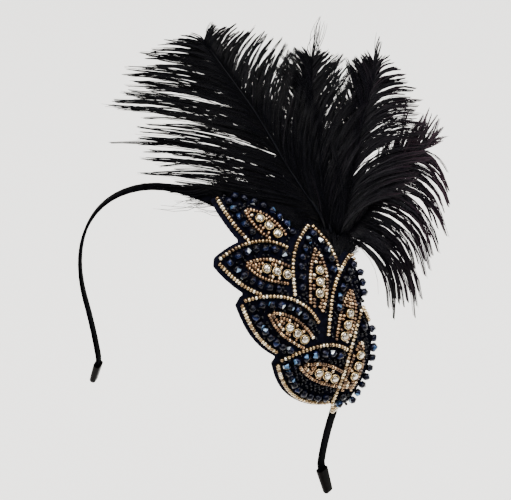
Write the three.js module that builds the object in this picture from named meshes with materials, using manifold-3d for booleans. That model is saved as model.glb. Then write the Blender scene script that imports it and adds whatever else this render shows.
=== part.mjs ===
// Flapper feather headband: a narrow spring band with a beaded felt leaf spray and a black plume.
// Millimetres. +X is the wearer's left, where the spray sits, the wearer faces -Y and +Z is up.
// The origin is the inner face of the band at the crown of the head.
//
// The spray is laid out flat and then bent onto the head. In the flat plan s runs down the band
// from the crown, v runs across it to the back of the head, and w is the height above the head.
import * as THREE from 'three';
import { mergeVertices } from 'three/addons/utils/BufferGeometryUtils.js';
import Module from 'manifold-3d';

const wasm = await Module();
wasm.setup();

const degrees = (value) => value * Math.PI / 180;

// Band
const BAND_WIDTH = 4;
const BAND_THICKNESS = 1.4;
const CROWN_RADIUS = 62;
const CROWN_TURN = degrees(30);
const SIDE_RADIUS = 77;
const SIDE_TURN = degrees(54);
const TUCK_RADIUS = 80;
const TUCK_TURN = degrees(18);
const LEG_RADIUS = 300;
const LEG_LENGTH = 34;
const FLARE_RADIUS = 16;
const FLARE_TURN = degrees(22);
const END_LENGTH = 13;
const TIP_OVERLAP = 5;
const TIP_WALL = 0.8;
const TIP_WIDTH = 5.6;
const TIP_LENGTH = 13.5;

// How the head turns and curves under the spray
const TWIST_PER_MM = degrees(0.24);
const TWIST_PEAK = 112;
const TWIST_END = 220;
const HEAD_RADIUS = 62;

// Spray: where it starts on the band, its length, its reach to each side, and one leaf's half-width
const SPRAY_START = 6.6;
const SPRAY_LENGTH = 115;
const SPRAY_REACH = 29;
const LEAF_HALF_WIDTH = 12;
const LEAF_ROOT_SHARE = 0.7;
const FELT_THICKNESS = 1.3;
const FELT_MARGIN = 1.6;
const ROW_RADIUS = 1.0;
const GROUND_THICKNESS = 0.6;
const HEART_HEIGHT = 1.8;
const HEART_HALF_WIDTH = 4.9;
const CUT_BEAD_RADIUS = 1.9;
const CUT_BEAD_PITCH = 4.2;
const CUT_BEAD_TURN = 1.1; // radians, from one cut bead to the next
const TIP_STEP = 0.3; // least step along a leaf from its tip to the first point of a side
const STONE_RADIUS = 2.0;
const STONE_HEIGHT = 3.0;
const STONE_PITCH = 4.6;
const TAIL_LENGTH = 5;
const GAP = 0.3;
const LONGEST_EDGE = 9;

// Heights of the layers above the middle of the band
const FELT_BOTTOM = BAND_THICKNESS / 2 + GAP;
const FELT_TOP = FELT_BOTTOM + FELT_THICKNESS;
const BEAD_BASE = FELT_TOP + GAP;
const CUTTER_TOP = 2 * (BEAD_BASE + STONE_HEIGHT);

// Leaves. tip and root are shares of the spray's length and reach. ahead and behind are the
// half-widths on the two sides of the line from tip to root, as shares of LEAF_HALF_WIDTH.
// rowAhead and rowBehind say how far from the tip a row of beads edges each side.
// Leaves are listed from the lowest layer to the highest: a later leaf covers an earlier one.
const LEAVES = [
  { name: 1, tip: [0, 0.03], root: [0.308, 0.10], ahead: 0.80, behind: 0.73, belly: 0.68,
    rowAhead: 0.72, rowBehind: 0, heart: [0.33, 0.92], shift: 0.10, stoneAt: 0.69 },
  { name: 2, tip: [0.164, -0.78], root: [0.421, -0.07], ahead: 0.84, behind: 1.00, belly: 0.65,
    rowAhead: 0.74, rowBehind: 0.80, heart: [0.30, 0.94], shift: 0.03, stoneAt: 0.71 },
  { name: 5, tip: [0.308, 0.71], root: [0.569, -0.14], ahead: 0.98, behind: 0.88, belly: 0.52,
    rowAhead: 0.84, rowBehind: 0.62, heart: [0.24, 0.95], shift: 0.02, stoneAt: 0.635 },
  { name: 3, tip: [0.342, -0.92], root: [0.664, -0.40], ahead: 0.82, behind: 1.00, belly: 0.65,
    rowAhead: 0.76, rowBehind: 0.90, heart: [0.31, 0.97], shift: 0.12, stoneAt: 0.755 },
  { name: 6, tip: [0.490, 1.00], root: [0.738, 0.09], ahead: 0.96, behind: 0.50, belly: 0.55,
    rowAhead: 0.92, rowBehind: 0.12, heart: [0.36, 0.95], shift: -0.14, stoneAt: 0.76 },
  { name: 4, tip: [0.664, -0.88], root: [0.900, 0.05], ahead: 1.18, behind: 1.18, belly: 0.65,
    rowAhead: 1.00, rowBehind: 0.84, heart: [0.24, 0.96], shift: 0.08, stoneAt: 0.665 },
  { name: 7, tip: [0.656, 0.66], root: [0.995, -0.03], ahead: 0.50, behind: 0.66, belly: 0.50,
    rowAhead: 1.00, rowBehind: 0.15, heart: [0.28, 0.84], shift: -0.02, stoneAt: 0.55 },
];

// Plume. It fans out in a sheet that faces forward and outward, at this turn and tilt.
const PLUME_TURN = degrees(35);
const PLUME_TILT = degrees(39);
const PLUME_HEIGHT = 100;
const PLUME_FOOT = [54, -24, -11];
const PLUME_CURL = 0.22;
const PLUME_CREST = [-0.45, 0.40];
const LAYER_GAP = 4;
const LOCK_THICKNESS = 1.5;
const LOCKS_PER_SIDE = 7;
const SHAFT_RADIUS = 0.85;
const QUILL_RADIUS = 0.8;
const QUILL_RISE = 1.2;

// Feathers, front to back. Points are shares of PLUME_HEIGHT, to the right and up. tips says where
// the barbs of one side end, at even steps from the foot of the spine to its tip. from is where on
// the spine they begin, and bow how far their middles bend out, as a share of their length. end is
// where the last lock ends. quill runs in the flat plan from its hidden end out past the felt, in
// shares of the spray's length and reach.
const FEATHERS = [
  { name: 1, layer: 1, spine: [[-0.046, 0.169], [-0.163, 0.35], [-0.297, 0.585], [-0.428, 0.779], [-0.514, 0.906]],
    left: { from: 0.14, bow: -0.07,
      tips: [[-0.80, 0.31], [-0.91, 0.48], [-0.90, 0.67], [-0.82, 0.81], [-0.57, 0.93]] },
    right: { from: 0.04, bow: 0.12,
      tips: [[-0.09, 0.64], [-0.12, 0.80], [-0.19, 0.91], [-0.31, 0.96], [-0.47, 0.975]] },
    end: [-0.57, 0.98], quill: [[0.499, 0.276], [0.450, 0.500], [0.390, 0.810], [0.360, 0.966]] },
  { name: 2, layer: 0, spine: [[-0.013, 0.198], [-0.039, 0.39], [-0.06, 0.58], [-0.063, 0.72], [-0.05, 0.80]],
    left: { from: 0.06, bow: -0.07,
      tips: [[-0.23, 0.62], [-0.22, 0.77], [-0.18, 0.87], [-0.13, 0.90], [-0.09, 0.92]] },
    right: { from: 0.04, bow: 0.07,
      tips: [[0.16, 0.60], [0.15, 0.75], [0.11, 0.84], [0.06, 0.87], [-0.01, 0.92]] },
    end: [-0.04, 0.95], quill: [[0.530, 0.345], [0.482, 0.552], [0.425, 0.845], [0.395, 1.0]] },
  { name: 3, layer: -1, spine: [[0.064, 0.183], [0.112, 0.39], [0.165, 0.57], [0.205, 0.69], [0.225, 0.76]],
    left: { from: 0.06, bow: -0.06,
      tips: [[0.02, 0.66], [0.06, 0.78], [0.11, 0.85], [0.15, 0.86], [0.19, 0.88]] },
    right: { from: 0.03, bow: 0.14,
      tips: [[0.45, 0.42], [0.43, 0.58], [0.38, 0.70], [0.33, 0.79], [0.27, 0.86]] },
    end: [0.24, 0.90], quill: [[0.560, 0.414], [0.512, 0.603], [0.456, 0.879], [0.425, 1.034]] },
  { name: 4, layer: -2, spine: [[0.11, 0.108], [0.183, 0.215], [0.293, 0.32], [0.386, 0.43]],
    left: { from: 0.06, bow: -0.06,
      tips: [[0.20, 0.52], [0.31, 0.60], [0.41, 0.64], [0.49, 0.63], [0.52, 0.56]] },
    right: { from: 0.0, bow: 0.15,
      tips: [[0.45, -0.25], [0.54, -0.01], [0.56, 0.15], [0.56, 0.30], [0.55, 0.43]] },
    end: [0.53, 0.50], quill: [[0.586, 0.517], [0.525, 0.759], [0.460, 1.069], [0.430, 1.207]] },
];

// Colours, roughness and metalness of each kind of piece
const material = (color, roughness, metalness) => new THREE.MeshStandardMaterial({ color, roughness, metalness });
const SATIN = material(0x101016, 0.45, 0);
const TIP_RUBBER = material(0x1c1614, 0.5, 0);
const FELT = material(0x0e0f18, 0.95, 0);
const GOLD = material(0xc8a25c, 0.3, 0.8);
const COPPER_GOLD = material(0xb5834a, 0.35, 0.8);
const MIDNIGHT = material(0x1a2038, 0.15, 0.3);
const CRYSTAL = material(0xe9e2d2, 0.08, 0.1);
const PLUME_BLACK = material(0x0b0a10, 0.7, 0);

const part = new THREE.Group();

function addMesh(name, geometry, look) {
  const mesh = new THREE.Mesh(geometry, look);
  mesh.name = name;
  part.add(mesh);
  return mesh;
}

// Solids: joins and cuts work on closed meshes with merged vertices.
function toSolid(geometry) {
  const plain = geometry.index ? geometry.toNonIndexed() : geometry.clone();
  plain.deleteAttribute('normal');
  plain.deleteAttribute('uv');
  const merged = mergeVertices(plain, 1e-4);
  const corners = merged.index.array;
  const triangles = [];
  for (let i = 0; i < corners.length; i += 3) {
    const [a, b, c] = [corners[i], corners[i + 1], corners[i + 2]];
    if (a !== b && b !== c && c !== a) triangles.push(a, b, c);
  }
  return new wasm.Manifold(new wasm.Mesh({
    numProp: 3,
    vertProperties: Float32Array.from(merged.attributes.position.array),
    triVerts: Uint32Array.from(triangles),
  }));
}

function toGeometry(solid) {
  const mesh = solid.getMesh();
  const geometry = new THREE.BufferGeometry();
  const positions = [];
  for (let i = 0; i < mesh.numVert; i++) {
    for (let k = 0; k < 3; k++) positions.push(mesh.vertProperties[i * mesh.numProp + k]);
  }
  geometry.setAttribute('position', new THREE.Float32BufferAttribute(positions, 3));
  geometry.setIndex(Array.from(mesh.triVerts));
  return geometry;
}

const join = (solids) => solids.reduce((whole, solid) => whole.add(solid));

// Splits every edge longer than the limit, in all the triangles that share it, until none is left.
function splitLongEdges(geometry, longest) {
  const points = [];
  const position = geometry.attributes.position;
  for (let i = 0; i < position.count; i++) points.push(new THREE.Vector3().fromBufferAttribute(position, i));
  let faces = [];
  for (let i = 0; i < geometry.index.count; i += 3) faces.push([0, 1, 2].map((k) => geometry.index.getX(i + k)));
  let split = true;
  while (split) {
    split = false;
    const middles = new Map();
    const middleOf = (a, b) => {
      if (points[a].distanceTo(points[b]) <= longest) return -1;
      const key = a < b ? `${a} ${b}` : `${b} ${a}`;
      if (!middles.has(key)) {
        middles.set(key, points.length);
        points.push(points[a].clone().lerp(points[b], 0.5));
      }
      return middles.get(key);
    };
    const next = [];
    for (const [a, b, c] of faces) {
      next.push(...splitFace(points, a, b, c, middleOf(a, b), middleOf(b, c), middleOf(c, a)));
    }
    split = next.length > faces.length;
    faces = next;
  }
  const result = new THREE.BufferGeometry().setFromPoints(points);
  result.setIndex(faces.flat());
  return result;
}

// One triangle with up to three of its edges halved: -1 stands for an edge that stays whole.
function splitFace(points, a, b, c, ab, bc, ca) {
  const halved = [ab, bc, ca].filter((middle) => middle >= 0).length;
  if (halved === 0) return [[a, b, c]];
  if (halved === 3) return [[a, ab, ca], [ab, b, bc], [ca, bc, c], [ab, bc, ca]];
  if (halved === 1) {
    if (ab >= 0) return [[a, ab, c], [ab, b, c]];
    if (bc >= 0) return [[a, b, bc], [a, bc, c]];
    return [[a, b, ca], [ca, b, c]];
  }
  // Two halved edges meet at one corner: turn the triangle so that this corner comes first.
  if (ca < 0) return splitFace(points, b, c, a, bc, -1, ab);
  if (ab < 0) return splitFace(points, c, a, b, ca, -1, bc);
  const short = points[ab].distanceTo(points[c]) < points[ca].distanceTo(points[b]);
  return short
    ? [[a, ab, ca], [ab, b, c], [ab, c, ca]]
    : [[a, ab, ca], [ab, b, ca], [b, c, ca]];
}

// The band's half curve, from the crown down: each row is an arc, or a straight where turn is 0.
const BAND_ARCS = [
  { length: CROWN_RADIUS * CROWN_TURN, turn: CROWN_TURN },
  { length: SIDE_RADIUS * SIDE_TURN, turn: SIDE_TURN },
  { length: TUCK_RADIUS * TUCK_TURN, turn: TUCK_TURN },
  { length: LEG_LENGTH, turn: -LEG_LENGTH / LEG_RADIUS },
  { length: FLARE_RADIUS * FLARE_TURN, turn: -FLARE_TURN },
  { length: END_LENGTH, turn: 0 },
];
const HALF_LENGTH = BAND_ARCS.reduce((sum, arc) => sum + arc.length, 0);
const TIP_START = HALF_LENGTH - TIP_LENGTH;

// Place and heading of the band's middle line at the distance s from the crown.
function bandAt(s) {
  const side = Math.sign(s) || 1;
  let left = Math.abs(s);
  let heading = 0;
  let x = 0;
  let z = 0;
  for (const arc of BAND_ARCS) {
    const piece = Math.min(left, arc.length);
    const turn = arc.turn * piece / arc.length;
    const chord = turn === 0 ? piece : 2 * Math.sin(turn / 2) * piece / turn;
    x += chord * Math.cos(heading + turn / 2);
    z -= chord * Math.sin(heading + turn / 2);
    heading += turn;
    left -= piece;
  }
  return { x: side * x, z: z + BAND_THICKNESS / 2, heading: side * heading };
}

// From the flat plan to the head. The plan turns forward about the band and curves around the head.
function headFrame(s, v) {
  const { x, z, heading } = bandAt(s);
  const side = Math.sign(s) || 1;
  const gone = Math.max(0, Math.abs(s) - TWIST_PEAK) / (TWIST_END - TWIST_PEAK);
  const twist = side * TWIST_PER_MM * Math.min(Math.abs(s), TWIST_PEAK) * (1 - Math.min(1, gone));
  const down = new THREE.Vector3(Math.cos(heading), 0, -Math.sin(heading));
  const up = new THREE.Vector3(Math.sin(heading), 0, Math.cos(heading)).applyAxisAngle(down, side * twist);
  const back = new THREE.Vector3(0, 1, 0).applyAxisAngle(down, side * twist);
  const angle = v / HEAD_RADIUS;
  const foot = new THREE.Vector3(x, 0, z)
    .addScaledVector(back, HEAD_RADIUS * Math.sin(angle))
    .addScaledVector(up, HEAD_RADIUS * (Math.cos(angle) - 1));
  const normal = up.clone().multiplyScalar(Math.cos(angle)).addScaledVector(back, Math.sin(angle));
  return { foot, down, normal, across: new THREE.Vector3().crossVectors(normal, down) };
}

function onHead(s, v, w) {
  const { foot, normal } = headFrame(s, v);
  return foot.addScaledVector(normal, w);
}

function bend(geometry) {
  const fine = splitLongEdges(geometry, LONGEST_EDGE);
  const position = fine.attributes.position;
  for (let i = 0; i < position.count; i++) {
    const { x, y, z } = onHead(position.getX(i), position.getY(i), position.getZ(i));
    position.setXYZ(i, x, y, z);
  }
  fine.computeVertexNormals();
  return fine;
}

// Flat solids
function prism(loop, bottom, top) {
  const shape = new THREE.Shape(loop.map(([s, v]) => new THREE.Vector2(s, v)));
  const geometry = new THREE.ExtrudeGeometry(shape, { depth: top - bottom, bevelEnabled: false });
  return geometry.translate(0, 0, bottom);
}

function roundLoop([s, v], radius, sides) {
  return Array.from({ length: sides }, (_, i) => {
    const angle = 2 * Math.PI * (i + 0.5) / sides;
    return [s + radius * Math.cos(angle), v + radius * Math.sin(angle)];
  });
}

function rod(path, radius, sides, steps) {
  const section = new THREE.Shape(roundLoop([0, 0], radius, sides).map(([x, y]) => new THREE.Vector2(x, y)));
  return new THREE.ExtrudeGeometry(section, { extrudePath: path, steps, bevelEnabled: false });
}

// A leaf in the flat plan, in millimetres
function leafFrame(leaf) {
  const place = ([length, reach]) => [SPRAY_START + length * SPRAY_LENGTH, reach * SPRAY_REACH];
  const tip = place(leaf.tip);
  const root = place(leaf.root);
  return makeLeaf(leaf, tip, root, leaf.ahead * LEAF_HALF_WIDTH, leaf.behind * LEAF_HALF_WIDTH, leaf.belly);
}

function makeLeaf(row, tip, root, ahead, behind, belly) {
  const length = Math.hypot(root[0] - tip[0], root[1] - tip[1]);
  const axis = [(root[0] - tip[0]) / length, (root[1] - tip[1]) / length];
  const point = (along, beside) => [
    tip[0] + axis[0] * along - axis[1] * beside,
    tip[1] + axis[1] * along + axis[0] * beside,
  ];
  return { ...row, length, ahead, behind, belly, point };
}

// The bead bed in the middle of a leaf is a smaller leaf on the same axis.
function heartFrame(leaf) {
  const [from, to] = leaf.heart;
  const shift = leaf.shift * LEAF_HALF_WIDTH;
  const half = Math.min(HEART_HALF_WIDTH, 0.8 * Math.min(leaf.ahead + shift, leaf.behind - shift) - GAP);
  const ends = [from, to].map((share) => leaf.point(share * leaf.length, shift));
  return makeLeaf({}, ...ends, half, half, 0.55);
}

// Half-width of a leaf at a share of its length, and its slope: two parabolas that meet at the belly.
function leafProfile(leaf, share) {
  const toTip = (leaf.belly - share) / leaf.belly;
  const toRoot = (share - leaf.belly) / (1 - leaf.belly);
  return share < leaf.belly
    ? { width: 1 - toTip ** 2, slope: 2 * toTip / leaf.belly }
    : {
      width: 1 - (1 - LEAF_ROOT_SHARE) * toRoot ** 2,
      slope: -2 * (1 - LEAF_ROOT_SHARE) * toRoot / (1 - leaf.belly),
    };
}

// One side of a leaf down to a share of its length, moved outward by grow: pairs of along and beside.
function leafSide(leaf, half, grow, run = 1, steps = 6) {
  const pairs = [];
  for (let i = 0; i <= steps; i++) {
    const share = run * i / steps;
    const { width, slope } = leafProfile(leaf, share);
    const steep = half * slope / leaf.length;
    const outward = grow / Math.hypot(1, steep);
    pairs.push([share * leaf.length - outward * steep, half * width + outward]);
  }
  const kept = pairs.filter(([along, beside]) => beside > 0.1 && along < leaf.length + Math.min(grow, 0) - 0.2);
  if (run === 1) kept.push([leaf.length + grow, half * LEAF_ROOT_SHARE + grow]);
  return kept;
}

// The closed outline of a leaf, each side moved outward by its own amount.
function leafLoop(leaf, growAhead, growBehind) {
  const slope = (half) => 2 * half / leaf.belly / leaf.length;
  const reach = (half, grow) => grow * Math.min(1.6, Math.hypot(1, slope(half)) / slope(half));
  const tip = -(reach(leaf.ahead, growAhead) + reach(leaf.behind, growBehind)) / 2;
  const behind = leafSide(leaf, leaf.behind, growBehind).filter(([along]) => along > tip + TIP_STEP);
  const ahead = leafSide(leaf, leaf.ahead, growAhead).filter(([along]) => along > tip + TIP_STEP);
  return [
    leaf.point(tip, 0),
    ...behind.map(([along, beside]) => leaf.point(along, beside)),
    ...ahead.reverse().map(([along, beside]) => leaf.point(along, -beside)),
  ];
}

// The middle line of the bead row along one side of a leaf, from the tip to a share of its length.
class LeafEdge extends THREE.Curve {
  constructor(leaf, side, run) {
    super();
    Object.assign(this, { leaf, side, run });
  }

  getPoint(t, target = new THREE.Vector3()) {
    const share = t * this.run;
    const half = this.side > 0 ? this.leaf.behind : this.leaf.ahead;
    const beside = this.side * half * leafProfile(this.leaf, share).width;
    const [s, v] = this.leaf.point(share * this.leaf.length, beside);
    return target.set(s, v, BEAD_BASE + ROW_RADIUS);
  }
}

const leaves = LEAVES.map(leafFrame);
const hearts = leaves.map(heartFrame);
const hasRow = (run) => run > 0.5;
const ROW_OUTER = ROW_RADIUS + FELT_MARGIN;
const RIM_OUTER = 1.0;
const feltGrow = (run) => (hasRow(run) ? ROW_OUTER : RIM_OUTER);
const groundGrow = (run) => (hasRow(run) ? -ROW_RADIUS - GAP : 0.4);
const beadInset = (run) => (hasRow(run) ? ROW_RADIUS + 1.5 * GAP + CUT_BEAD_RADIUS : 0.4);
const SIDES = [{ side: -1, half: 'ahead', row: 'rowAhead' }, { side: 1, half: 'behind', row: 'rowBehind' }];

// Strips of the plan that a leaf's own bead rows take
function rowStrips(leaf, grow, steps) {
  const strips = SIDES.filter(({ row }) => leaf[row] > 0).map(({ side, half, row }) => {
    const run = Math.min(1, leaf[row] + grow / leaf.length);
    const place = ([along, beside]) => leaf.point(along, side * beside);
    const outer = leafSide(leaf, leaf[half], ROW_RADIUS + grow, run, steps);
    const inner = leafSide(leaf, leaf[half], -ROW_RADIUS - grow, run, steps);
    const tip = ROW_RADIUS + grow;
    const [before, after] = [-tip, tip].map((along) => leaf.point(along, -side * tip));
    return [before, ...outer.map(place), ...inner.reverse().map(place), after];
  });
  return [...strips, roundLoop(leaf.point(0, 0), 1.1 * (1.05 * ROW_RADIUS + grow), 8)];
}

// Space that the leaves above this one take, for cutting this one back
function coversOf(index, grow) {
  return leaves.slice(index + 1).map((leaf) => {
    const ahead = hasRow(leaf.rowAhead) ? ROW_RADIUS : 0.4;
    const behind = hasRow(leaf.rowBehind) ? ROW_RADIUS : 2.1;
    return leafLoop(leaf, ahead + grow, behind + grow);
  });
}

function cutByCovers(solid, index) {
  return coversOf(index, GAP).reduce((rest, loop) => rest.subtract(toSolid(prism(loop, 0, CUTTER_TOP))), solid);
}

function largestPiece(solid) {
  return solid.decompose().sort((a, b) => b.volume() - a.volume())[0];
}

// Distance from a flat point to a loop: negative inside it
function distanceTo(loop, [s, v]) {
  let nearest = Infinity;
  let inside = false;
  loop.forEach(([s1, v1], i) => {
    const [s2, v2] = loop[(i + 1) % loop.length];
    const run = (s2 - s1) ** 2 + (v2 - v1) ** 2;
    const share = Math.min(1, Math.max(0, ((s - s1) * (s2 - s1) + (v - v1) * (v2 - v1)) / run));
    nearest = Math.min(nearest, Math.hypot(s - s1 - share * (s2 - s1), v - v1 - share * (v2 - v1)));
    if ((v1 > v) !== (v2 > v) && s < s1 + (s2 - s1) * (v - v1) / (v2 - v1)) inside = !inside;
  });
  return inside ? -nearest : nearest;
}

// Places for the cut beads: a row inside each edge, clear of the bead bed and of the leaves above
function cutBeadSpots(index) {
  const leaf = leaves[index];
  const heart = leafLoop(hearts[index], 0, 0);
  const others = [heart, ...coversOf(index, 0), ...rowStrips(leaf, 0, 16)];
  const spots = [];
  const tryStep = CUT_BEAD_PITCH / 8;
  for (const { side, half, row } of SIDES) {
    for (let along = tryStep; along < leaf.length; along += tryStep) {
      const { width, slope } = leafProfile(leaf, along / leaf.length);
      const steep = leaf[half] * slope / leaf.length;
      const inset = beadInset(leaf[row]) / Math.hypot(1, steep);
      const beside = leaf[half] * width - inset;
      const spot = leaf.point(along + inset * steep, side * beside);
      const clear = beside > 0
        && others.every((loop) => distanceTo(loop, spot) > CUT_BEAD_RADIUS + GAP)
        && spots.every(([s, v]) => Math.hypot(s - spot[0], v - spot[1]) > CUT_BEAD_PITCH);
      if (clear) spots.push(spot);
    }
  }
  return spots;
}

// A cut bead lying on its side: six facets on each half and a flat face at each end of its hole
function cutBead([s, v], turn) {
  const half = CUT_BEAD_RADIUS * 0.95;
  const end = CUT_BEAD_RADIUS * 0.37;
  const profile = [[0, -half], [end, -half], [CUT_BEAD_RADIUS, 0], [end, half], [0, half]];
  return new THREE.LatheGeometry(profile.map(([x, y]) => new THREE.Vector2(x, y)), 6)
    .rotateZ(turn).translate(s, v, BEAD_BASE + CUT_BEAD_RADIUS + 0.05);
}

// Pieces
function flatStrip(from, to, halfWidth, bottom, top) {
  return prism([[from, -halfWidth], [to, -halfWidth], [to, halfWidth], [from, halfWidth]], bottom, top);
}

function makeBand() {
  const length = 2 * (TIP_START + TIP_OVERLAP);
  const flat = new THREE.BoxGeometry(length, BAND_WIDTH, BAND_THICKNESS, Math.ceil(length / 6), 1, 1);
  addMesh('band', bend(toGeometry(toSolid(flat))), SATIN);
}

// A moulded cap over each end of the band, with a pocket that the band goes into
function makeTip(name, side) {
  const half = TIP_WIDTH / 2;
  const thick = BAND_THICKNESS / 2 + GAP + TIP_WALL;
  const round = 2;
  const loop = [
    [TIP_START, -half], [HALF_LENGTH - round, -half], [HALF_LENGTH, -half + round],
    [HALF_LENGTH, half - round], [HALF_LENGTH - round, half], [TIP_START, half],
  ].map(([s, v]) => [side * s, v]);
  const pocketEnd = TIP_START + TIP_OVERLAP + GAP;
  const pocket = flatStrip(side * (TIP_START - 1), side * pocketEnd, BAND_WIDTH / 2 + GAP,
    -BAND_THICKNESS / 2 - GAP, BAND_THICKNESS / 2 + GAP);
  const cap = toSolid(prism(loop, -thick, thick)).subtract(toSolid(pocket));
  addMesh(name, bend(toGeometry(cap)), TIP_RUBBER);
}

function makeBacking() {
  const pieces = leaves.map((leaf) =>
    toSolid(prism(leafLoop(leaf, feltGrow(leaf.rowAhead), feltGrow(leaf.rowBehind)), FELT_BOTTOM, FELT_TOP)));
  addMesh('backing', bend(toGeometry(join(pieces))), FELT);
}

function makeOutline(leaf, index) {
  const pieces = [];
  for (const { side, row } of SIDES) {
    const steps = Math.ceil(leaf[row] * 6);
    if (steps > 0) pieces.push(toSolid(rod(new LeafEdge(leaf, side, leaf[row]), ROW_RADIUS, 8, steps)));
  }
  const [s, v] = leaf.point(0, 0);
  const tipRadius = ROW_RADIUS * 1.05;
  pieces.push(toSolid(new THREE.SphereGeometry(tipRadius, 8, 4).translate(s, v, BEAD_BASE + tipRadius)));
  if (leaf.name === 7) {
    const from = leaf.point(leaf.length - 1, -leaf.ahead * LEAF_ROOT_SHARE);
    const tail = new THREE.LineCurve3(
      new THREE.Vector3(...from, BEAD_BASE + ROW_RADIUS),
      new THREE.Vector3(from[0] + TAIL_LENGTH, from[1], BEAD_BASE + ROW_RADIUS));
    pieces.push(toSolid(rod(tail, ROW_RADIUS, 8, 1)));
  }
  const whole = largestPiece(cutByCovers(join(pieces), index));
  addMesh(`outline_${leaf.name}`, bend(toGeometry(whole)), GOLD);
}

function stoneSpots(leaf) {
  return [-1, 0, 1].map((place) =>
    leaf.point(leaf.stoneAt * leaf.length + place * STONE_PITCH, leaf.shift * LEAF_HALF_WIDTH));
}

function makeHeart(leaf, index) {
  let bed = toSolid(prism(leafLoop(hearts[index], 0, 0), BEAD_BASE, BEAD_BASE + HEART_HEIGHT));
  for (const spot of stoneSpots(leaf)) {
    bed = bed.subtract(toSolid(prism(roundLoop(spot, STONE_RADIUS + GAP * 1.3, 8), 0, CUTTER_TOP)));
  }
  addMesh(`heart_${leaf.name}`, bend(toGeometry(largestPiece(cutByCovers(bed, index)))), COPPER_GOLD);
}

function makeField(leaf, index) {
  const loop = leafLoop(leaf, groundGrow(leaf.rowAhead), groundGrow(leaf.rowBehind));
  let ground = toSolid(prism(loop, BEAD_BASE, BEAD_BASE + GROUND_THICKNESS));
  for (const taken of [leafLoop(hearts[index], GAP, GAP), ...rowStrips(leaf, GAP, 6)]) {
    ground = ground.subtract(toSolid(prism(taken, 0, CUTTER_TOP)));
  }
  ground = largestPiece(cutByCovers(ground, index));
  const beads = cutBeadSpots(index).map((spot, i) => toSolid(cutBead(spot, i * CUT_BEAD_TURN)));
  addMesh(`field_${leaf.name}`, bend(toGeometry(largestPiece(join([ground, ...beads])))), MIDNIGHT);
}

// A round stone in its metal cup: a flat table, eight crown facets, the girdle and the cup's wall
function makeStone(name, [s, v]) {
  const profile = [
    [0, 0], [STONE_RADIUS, 0], [STONE_RADIUS, 0.62 * STONE_HEIGHT],
    [0.55 * STONE_RADIUS, STONE_HEIGHT], [0, STONE_HEIGHT],
  ].map(([x, y]) => new THREE.Vector2(x, y));
  const geometry = new THREE.LatheGeometry(profile, 8).rotateX(Math.PI / 2);
  const stone = addMesh(name, geometry, CRYSTAL);
  const { down, across, normal } = headFrame(s, v);
  stone.position.copy(onHead(s, v, BEAD_BASE));
  stone.quaternion.setFromRotationMatrix(new THREE.Matrix4().makeBasis(down, across, normal));
}

// Plume
const plumeRight = new THREE.Vector3(Math.cos(PLUME_TURN), Math.sin(PLUME_TURN), 0);
const plumeOut = new THREE.Vector3(
  Math.sin(PLUME_TURN) * Math.cos(PLUME_TILT), -Math.cos(PLUME_TURN) * Math.cos(PLUME_TILT), Math.sin(PLUME_TILT));
const plumeUp = new THREE.Vector3().crossVectors(plumeOut, plumeRight);

// The plume's sheet rises forward from its foot to its crest and curls back towards its edges.
function plumeDepth(a, b) {
  const [crestA, crestB] = PLUME_CREST.map((share) => share * PLUME_HEIGHT);
  return PLUME_CURL / PLUME_HEIGHT * (crestA ** 2 + crestB ** 2 - (a - crestA) ** 2 - (b - crestB) ** 2);
}

function inPlume(a, b, depth) {
  return new THREE.Vector3()
    .addScaledVector(plumeRight, PLUME_FOOT[0] + a)
    .addScaledVector(plumeUp, PLUME_FOOT[1] + b)
    .addScaledVector(plumeOut, PLUME_FOOT[2] + plumeDepth(a, b) + depth);
}

const inPlumePlan = ([a, b]) => new THREE.Vector2(a, b).multiplyScalar(PLUME_HEIGHT);

// The middle line of a lock from a point on the spine to its tip, bowed to one side, as steps + 1 points
function lockLine(start, tip, bow, steps) {
  const run = tip.clone().sub(start);
  const beside = new THREE.Vector2(-run.y, run.x);
  return Array.from({ length: steps + 1 }, (_, i) => {
    const share = i / steps;
    return start.clone().addScaledVector(run, share).addScaledVector(beside, bow * 4 * share * (1 - share));
  });
}

function tipAt(tips, share) {
  const place = share * (tips.length - 1);
  const i = Math.min(Math.floor(place), tips.length - 2);
  return inPlumePlan(tips[i]).lerp(inPlumePlan(tips[i + 1]), place - i);
}

// A tapered flat lock along a line of points
function lockLoop(points, halfWidth) {
  const taper = [1, 1, 0.72];
  const sides = [[], []];
  taper.forEach((share, i) => {
    const way = points[i + 1].clone().sub(points[i]).normalize();
    const across = new THREE.Vector2(-way.y, way.x).multiplyScalar(halfWidth * share);
    sides[0].push(points[i].clone().add(across).toArray());
    sides[1].push(points[i].clone().sub(across).toArray());
  });
  return [...sides[0], points[taper.length].toArray(), ...sides[1].reverse()];
}

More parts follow.
